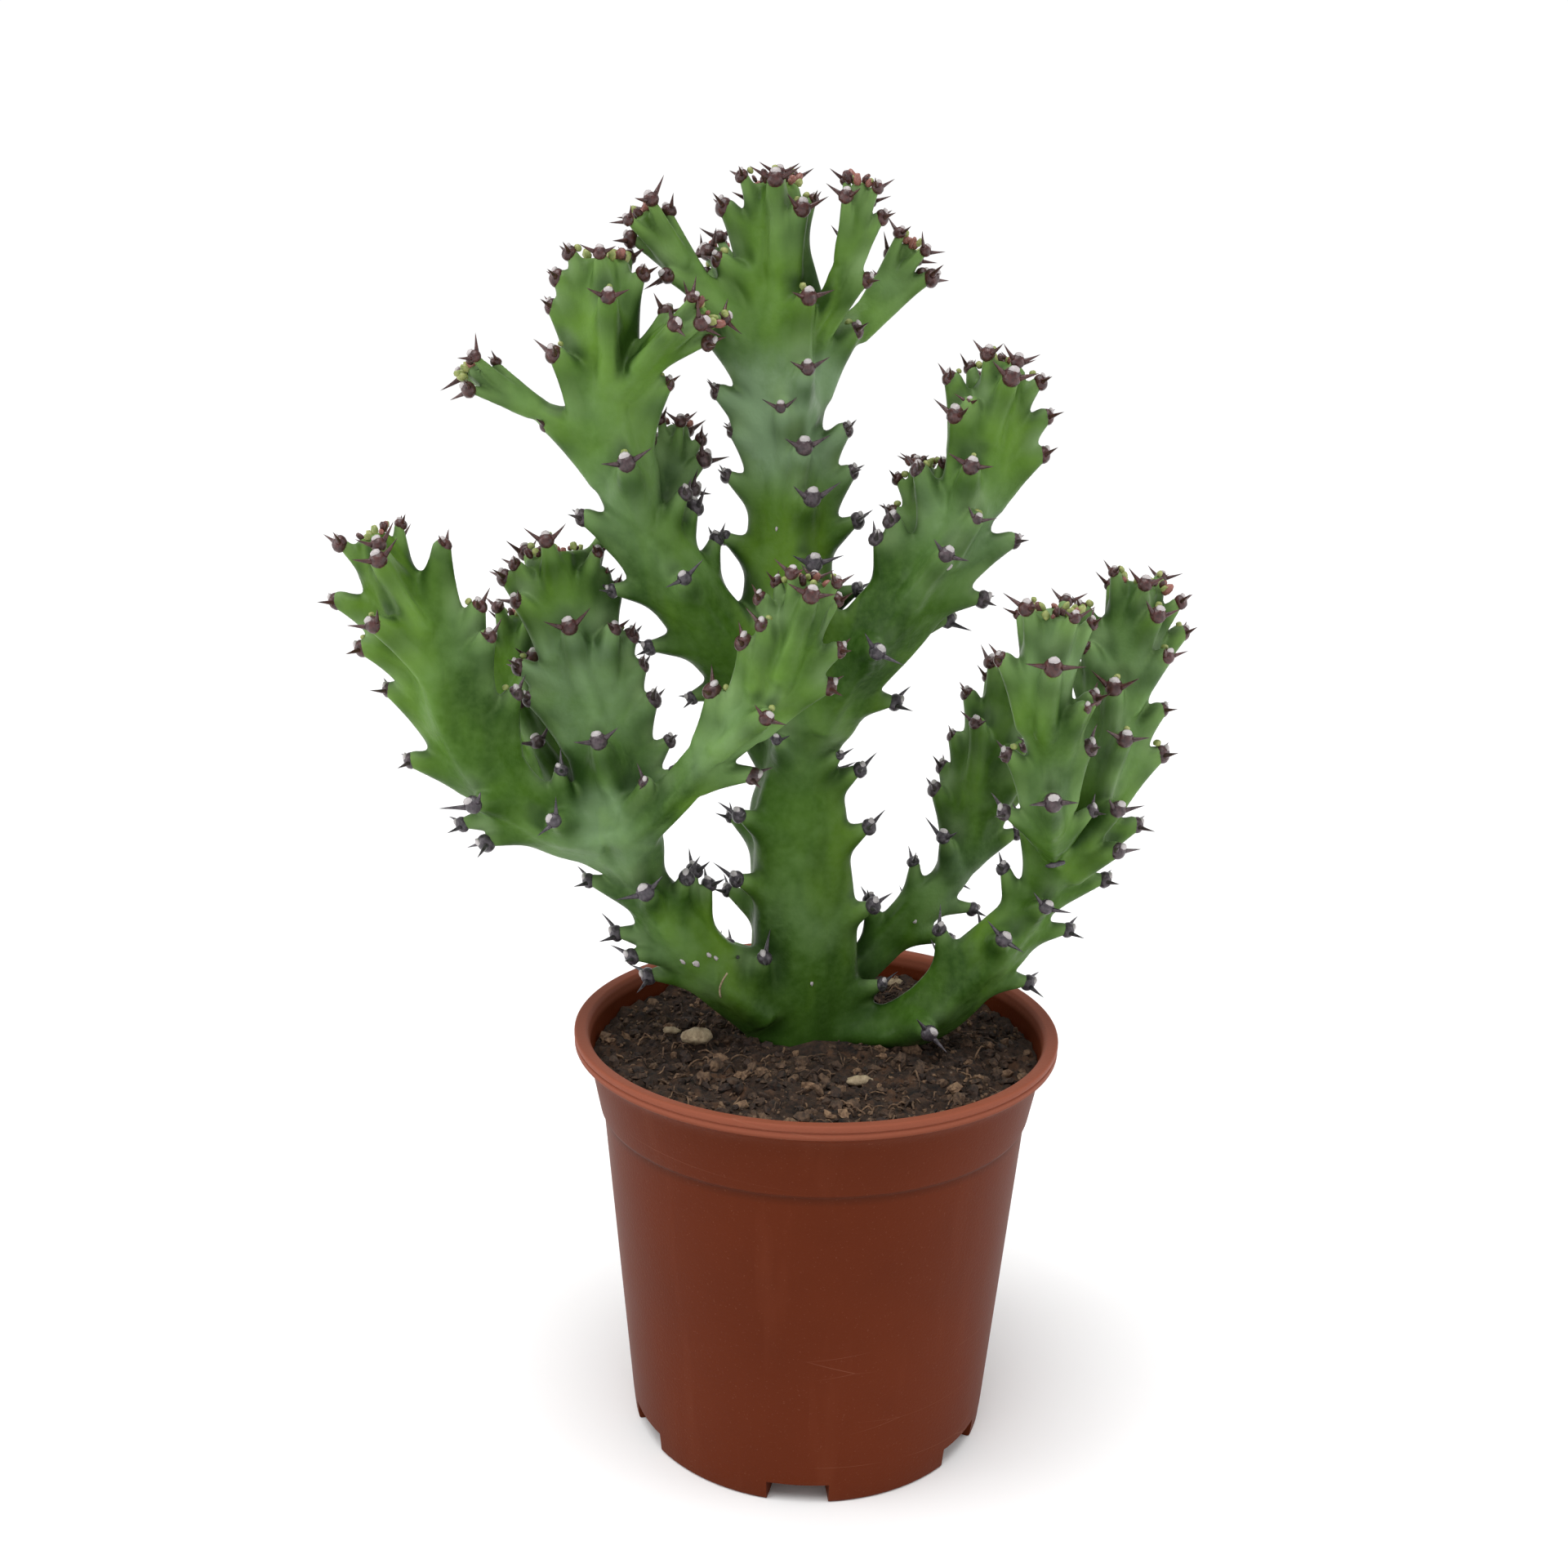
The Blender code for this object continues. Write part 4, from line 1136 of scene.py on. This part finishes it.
def rounded(profile, steps=4):
    """Replaces each corner by a curve that starts and ends its corner radius away."""
    out = []
    for k, (r, z, bend) in enumerate(profile):
        here = Vector((r, z))
        if bend == 0 or k in (0, len(profile) - 1):
            out.append(here)
            continue
        ways = [Vector(profile[n][:2]) - here for n in (k - 1, k + 1)]
        a, b = [here + way.normalized() * min(bend, way.length * 0.45) for way in ways]
        for i in range(steps + 1):
            t = i / steps
            out.append(a.lerp(here, t).lerp(here.lerp(b, t), t))
    return [(p[0], p[1]) for p in out]


def revolve(profile, sides, bottom, top):
    """Turns an outline about Z; it closes on the axis at the heights bottom and top."""
    turns = [TAU * k / sides for k in range(sides)]
    verts = [(r * math.cos(a), r * math.sin(a), z) for a in turns for r, z in profile]
    verts += [(0, 0, bottom), (0, 0, top)]
    count, low, high, faces = len(profile), len(verts) - 2, len(verts) - 1, []
    for side in range(sides):
        here, there = side * count, (side + 1) % sides * count
        faces += [(here + k, there + k, there + k + 1, here + k + 1) for k in range(count - 1)]
        faces += [(low, there, here), (high, here + count - 1, there + count - 1)]
    return verts, faces


def foot_turns():
    """Azimuths of the drainage pockets, in radians."""
    return [math.radians(FOOT_FIRST_AZIMUTH + 360 / FEET * k) for k in range(FEET)]


def wedges(grow, radii, heights, steps=6):
    """One block over each drainage pocket, with grow millimetres more on both sides."""
    verts, faces = [], []
    width = math.radians(FOOT_WIDTH) + 2 * grow / FOOT_INNER_RADIUS
    (near, far), (low, high) = radii, heights
    for middle in foot_turns():
        start = len(verts)
        for k in range(steps + 1):
            turn = middle + width * (k / steps - 0.5)
            verts += [(r * math.sin(turn), -r * math.cos(turn), z)
                      for r, z in ((near, low), (far, low), (far, high), (near, high))]
        last = start + 4 * steps
        faces += bands(steps + 1, 4, start)
        faces += [(start + 3, start + 2, start + 1, start), (last, last + 1, last + 2, last + 3)]
    return verts, faces


def solid(name, verts, faces):
    """A closed solid for the Booleans."""
    mesh = bpy.data.meshes.new(name)
    mesh.from_pydata([Vector(v) * MM for v in verts], [], faces)
    bm = bmesh.new()
    bm.from_mesh(mesh)
    bmesh.ops.recalc_face_normals(bm, faces=bm.faces)
    bm.to_mesh(mesh)
    bm.free()
    return put(name, mesh)


def apply_booleans(obj, steps):
    """Runs Booleans on an object, keeps the result in its mesh and removes the other solids."""
    for operation, other in steps:
        mod = obj.modifiers.new(operation, 'BOOLEAN')
        mod.operation, mod.solver, mod.object = operation, 'EXACT', other
    result = bpy.data.meshes.new_from_object(obj.evaluated_get(bpy.context.evaluated_depsgraph_get()))
    obj.modifiers.clear()
    obj.data = result
    for _, other in steps:
        bpy.data.objects.remove(other, do_unlink=True)


def drain_pins():
    """Upright pins where the drainage holes go."""
    mesh = bpy.data.meshes.new("pins")
    bm = bmesh.new()
    for turn in foot_turns():
        spot = Vector((math.sin(turn), -math.cos(turn), 0)) * DRAIN_HOLE_PLACE
        spot += Vector((0, 0, FOOT_HEIGHT + 1))
        bmesh.ops.create_cone(bm, cap_ends=True, segments=24, radius1=DRAIN_HOLE_RADIUS * MM,
                              radius2=DRAIN_HOLE_RADIUS * MM, depth=6 * MM,
                              matrix=Matrix.Translation(spot * MM))
    bm.to_mesh(mesh)
    bm.free()
    return put("pins", mesh)


def make_pot():
    pot = solid("nursery_pot", *revolve(rounded(pot_profile()), POT_SIDES, 0.0, FLOOR_THICKNESS))
    outer = wall_radius(0)
    roofs = wedges(WALL, (FOOT_INNER_RADIUS - WALL, outer - 0.8), (0.7, FOOT_HEIGHT + WALL))
    pockets = wedges(0.0, (FOOT_INNER_RADIUS, outer + 5), (-1.0, FOOT_HEIGHT))
    apply_booleans(pot, [('UNION', solid("roofs", *roofs)), ('DIFFERENCE', solid("pockets", *pockets)),
                         ('DIFFERENCE', drain_pins())])
    pot.data.materials.clear()
    pot.data.materials.append(pot_material())
    pot.data.shade_smooth()
    pot.data.set_sharp_from_angle(angle=math.radians(35))
    ride(pot, "pot")


# ---- soil

SOIL_LEVEL = 138.6
SOIL_RADIUS = 78.4
SOIL_GAP = 0.4  # between the soil's side and the pot
SOIL_LUMPS = ((1.2, 6.0), (1.1, 2.6), (0.7, 1.2))  # height and size


def lattice_noise(x, y, cell, seed):
    """Smooth noise between -1 and 1, with features of a cell's size."""
    grid = np.random.default_rng(seed).uniform(-1, 1, (256, 256))
    u, v = x / cell + 128, y / cell + 128
    i, j = np.floor(u).astype(int), np.floor(v).astype(int)
    f, g = u - i, v - j
    f, g = f * f * (3 - 2 * f), g * g * (3 - 2 * g)
    return ((grid[i, j] * (1 - f) + grid[i + 1, j] * f) * (1 - g)
            + (grid[i, j + 1] * (1 - f) + grid[i + 1, j + 1] * f) * g)


def soil_height(x, y):
    """Level of the crumbly soil."""
    x, y = np.asarray(x, float), np.asarray(y, float)
    swell = 0.7 * np.sin(0.11 * x + 0.6) * np.cos(0.13 * y) + 0.4 * np.sin(0.2 * y + 1)
    lumps = sum(tall * lattice_noise(x, y, cell, seed + 1) for seed, (tall, cell) in enumerate(SOIL_LUMPS))
    return SOIL_LEVEL - 0.3 + swell + lumps


def make_soil():
    rings, sides = ((95, 330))
    floor = FLOOR_THICKNESS + FOOT_HEIGHT + WALL
    edge = [(wall_radius(floor) - WALL - SOIL_GAP, floor),
            (wall_radius(COLLAR_BOTTOM) - WALL - SOIL_GAP, COLLAR_BOTTOM),
            (COLLAR_RADIUS - WALL - SOIL_GAP, COLLAR_MIDDLE), (SOIL_RADIUS, 136.0)]
    top = [(SOIL_RADIUS * math.sqrt(1 - k / rings), SOIL_LEVEL) for k in range(rings)]
    verts, faces = revolve(edge + top, sides, floor, SOIL_LEVEL)
    verts = np.array(verts)
    upper = verts[:, 2] > 137
    verts[upper, 2] = soil_height(verts[upper, 0], verts[upper, 1])
    new_piece("peat_soil", verts, faces, soil_material(), replaced="soil")
    make_crumbs()
    make_fibres()
    make_chips()


def scatter(rng, reach=SOIL_RADIUS - 2.5):
    """A random place on the soil, clear of the trunk."""
    while True:
        x, y = rng.uniform(-reach, reach), rng.uniform(-reach, reach)
        if math.hypot(x, y) < reach and math.hypot(x + 5, y - 17) > 21:
            return x, y


def lying(points, x, y, turn, tilt, lift):
    """Turns a solid about Z, tilts it and lays it on the soil."""
    spin = Matrix.Rotation(turn, 3, 'Z') @ Matrix.Rotation(tilt, 3, 'X')
    return points @ np.array(spin).T + np.array([x, y, float(soil_height(x, y)) + lift])


def make_crumbs():
    """Bark bits, lumps of peat and grit."""
    rng = random.Random(SEED)
    crumbs = Gather()
    for k in range(2200):
        x, y = scatter(rng)
        size = rng.uniform(0.5, 1.3) if k % 5 else rng.uniform(1.3, 3.4)
        flat = rng.uniform(0.3, 0.9)
        points, faces = ball(rng, (size, size * rng.uniform(0.3, 0.9), size * flat), 4, 6, 0.38)
        points = lying(points, x, y, rng.uniform(0, TAU), rng.uniform(-0.7, 0.7), size * flat * 0.35)
        crumbs.add(points, faces, rng.random() ** 2.2, 0.0)
    crumbs.piece("soil_crumbs", "soil", crumb_material(), smooth=False)


def make_fibres():
    """Thin dry roots and peat fibres."""
    rng = random.Random(SEED + 1)
    fibres = Gather()
    for _ in range(190):
        x, y = scatter(rng, SOIL_RADIUS - 8)
        turn, bend = rng.uniform(0, TAU), rng.uniform(-0.5, 0.5)
        length, thick = rng.uniform(3, 10), rng.uniform(0.14, 0.42)
        rise = rng.uniform(0.3, 2.2)
        line = []
        for k in range(7):
            t = k / 6
            angle = turn + bend * t * 2
            x += math.cos(angle) * length / 6
            y += math.sin(angle) * length / 6
            line.append((x, y, float(soil_height(x, y)) + 0.4 + rise * math.sin(math.pi * t)))
        fibres.add(*tube(np.array(line), thick), rng.random(), 0.0)
    fibres.piece("soil_fibres", "fibre", crumb_material())


def tube(line, radius, sides=5):
    """A closed tube along a line of points."""
    way = unit(np.gradient(line, axis=0))
    side = unit(np.cross(way, [0, 0, 1.0]) + 1e-6)
    up = np.cross(side, way)
    turns = TAU * np.arange(sides) / sides
    ring = np.cos(turns)[None, :, None] * side[:, None] + np.sin(turns)[None, :, None] * up[:, None]
    points = (line[:, None] + radius * ring).reshape(-1, 3)
    last = (len(line) - 1) * sides
    ends = [tuple(reversed(range(sides))), tuple(last + j for j in range(sides))]
    return points, bands(len(line), sides) + ends


# chip: x, y, (length, width, thickness), turn in degrees
CHIPS = {
    "wood_chip_large": (-42.0, -3.0, (11.0, 9.0, 5.5), 20),
    "wood_chip_small": (-52.0, 8.0, (7.0, 5.0, 2.6), -20),
    "wood_chip_front": (15.0, -30.0, (10.0, 5.0, 3.2), 15),
    "wood_chip_back": (29.0, 66.0, (11.0, 6.0, 3.0), 10),
}


def make_chips():
    for seed, (name, (x, y, size, turn)) in enumerate(CHIPS.items()):
        rng = random.Random(seed + 5)
        points, faces = ball(rng, [0.5 * s for s in size], 9, 16, 0.12)
        points = lying(points, x, y, math.radians(turn), rng.uniform(-0.2, 0.2), size[2] * 0.4)
        new_piece(name.replace("wood", "pale"), points, faces, chip_material(), replaced=name)


# ---- stage

CAMERA_PLACE = (0, -0.552, 0.373)  # metres
PITCH, ROLL, YAW = 0.245, 0.0194, -0.0234  # radians
LENS = 38.19  # millimetres, for a sensor 36 mm wide
AIM = (0, 0, 0.25)
AREA_LIGHTS = (("left", (-1.2, -0.3, 0.6), 5), ("right", (1.2, -0.2, 0.6), 4))  # name, place, watts
AREA_SIZE = 0.9
SUN_STRENGTH = 2.4
WORLD_RAMP = {"From Min": 0.24, "From Max": 0.5, "To Min": 1.0, "To Max": 0.4}  # strength by height
WORLD_WHITE = 1.03
FLOOR_WHITE = 0.93
FLOOR_HALF = 6  # metres


def make_camera():
    forward = Vector((math.sin(YAW) * math.cos(PITCH), math.cos(YAW) * math.cos(PITCH), -math.sin(PITCH)))
    right = Vector((math.cos(YAW), -math.sin(YAW), 0))
    up = right.cross(forward)
    across = math.cos(ROLL) * right + math.sin(ROLL) * up
    above = -math.sin(ROLL) * right + math.cos(ROLL) * up
    data = bpy.data.cameras.new("camera")
    data.sensor_width = 36
    data.lens = LENS
    data.clip_start = 0.01
    camera = put("camera", data)
    turn = Matrix((across, above, -forward)).transposed().to_4x4()
    camera.matrix_world = Matrix.Translation(CAMERA_PLACE) @ turn
    bpy.context.scene.camera = camera


def make_lights():
    for name, place, power in AREA_LIGHTS:
        data = bpy.data.lights.new(name, 'AREA')
        data.shape = 'DISK'
        data.size = AREA_SIZE
        data.energy = power
        lamp = put(name, data)
        lamp.location = place
        lamp.rotation_euler = (Vector(AIM) - Vector(place)).to_track_quat('-Z', 'Y').to_euler()
    sun = bpy.data.lights.new("overhead", 'SUN')
    sun.energy = SUN_STRENGTH
    sun.angle = math.radians(50)
    put("overhead", sun).rotation_euler = (math.radians(12), math.radians(-6), 0)


def make_world():
    """White all round at the horizon and darker above, so the plant is lit from its sides."""
    world = bpy.data.worlds.new("studio")
    world.use_nodes = True
    bpy.context.scene.world = world
    nodes, links = world.node_tree.nodes, world.node_tree.links
    way = nodes.new("ShaderNodeSeparateXYZ")
    links.new(nodes.new("ShaderNodeTexCoord").outputs["Generated"], way.inputs[0])
    strength = nodes.new("ShaderNodeMapRange")
    links.new(way.outputs["Z"], strength.inputs["Value"])
    for key, value in WORLD_RAMP.items():
        strength.inputs[key].default_value = value
    links.new(strength.outputs[0], nodes["Background"].inputs["Strength"])
    nodes["Background"].inputs["Color"].default_value = (WORLD_WHITE, WORLD_WHITE, WORLD_WHITE, 1)
    bpy.context.scene.view_settings.view_transform = 'Standard'


def make_floor():
    look = Look("pale_floor", 0.9, 0.0)
    look.shader.inputs["Base Color"].default_value = (FLOOR_WHITE, FLOOR_WHITE, FLOOR_WHITE, 1)
    floor = bpy.data.meshes.new("floor")
    corners = [(x * FLOOR_HALF, y * FLOOR_HALF, 0) for x, y in ((-1, -1), (1, -1), (1, 1), (-1, 1))]
    floor.from_pydata(corners, [], [(0, 1, 2, 3)])
    floor.materials.append(look.mat)
    put("floor", floor)


def main():
    make_camera()
    make_lights()
    make_world()
    make_floor()
    make_pot()
    make_soil()
    make_plant()


main()
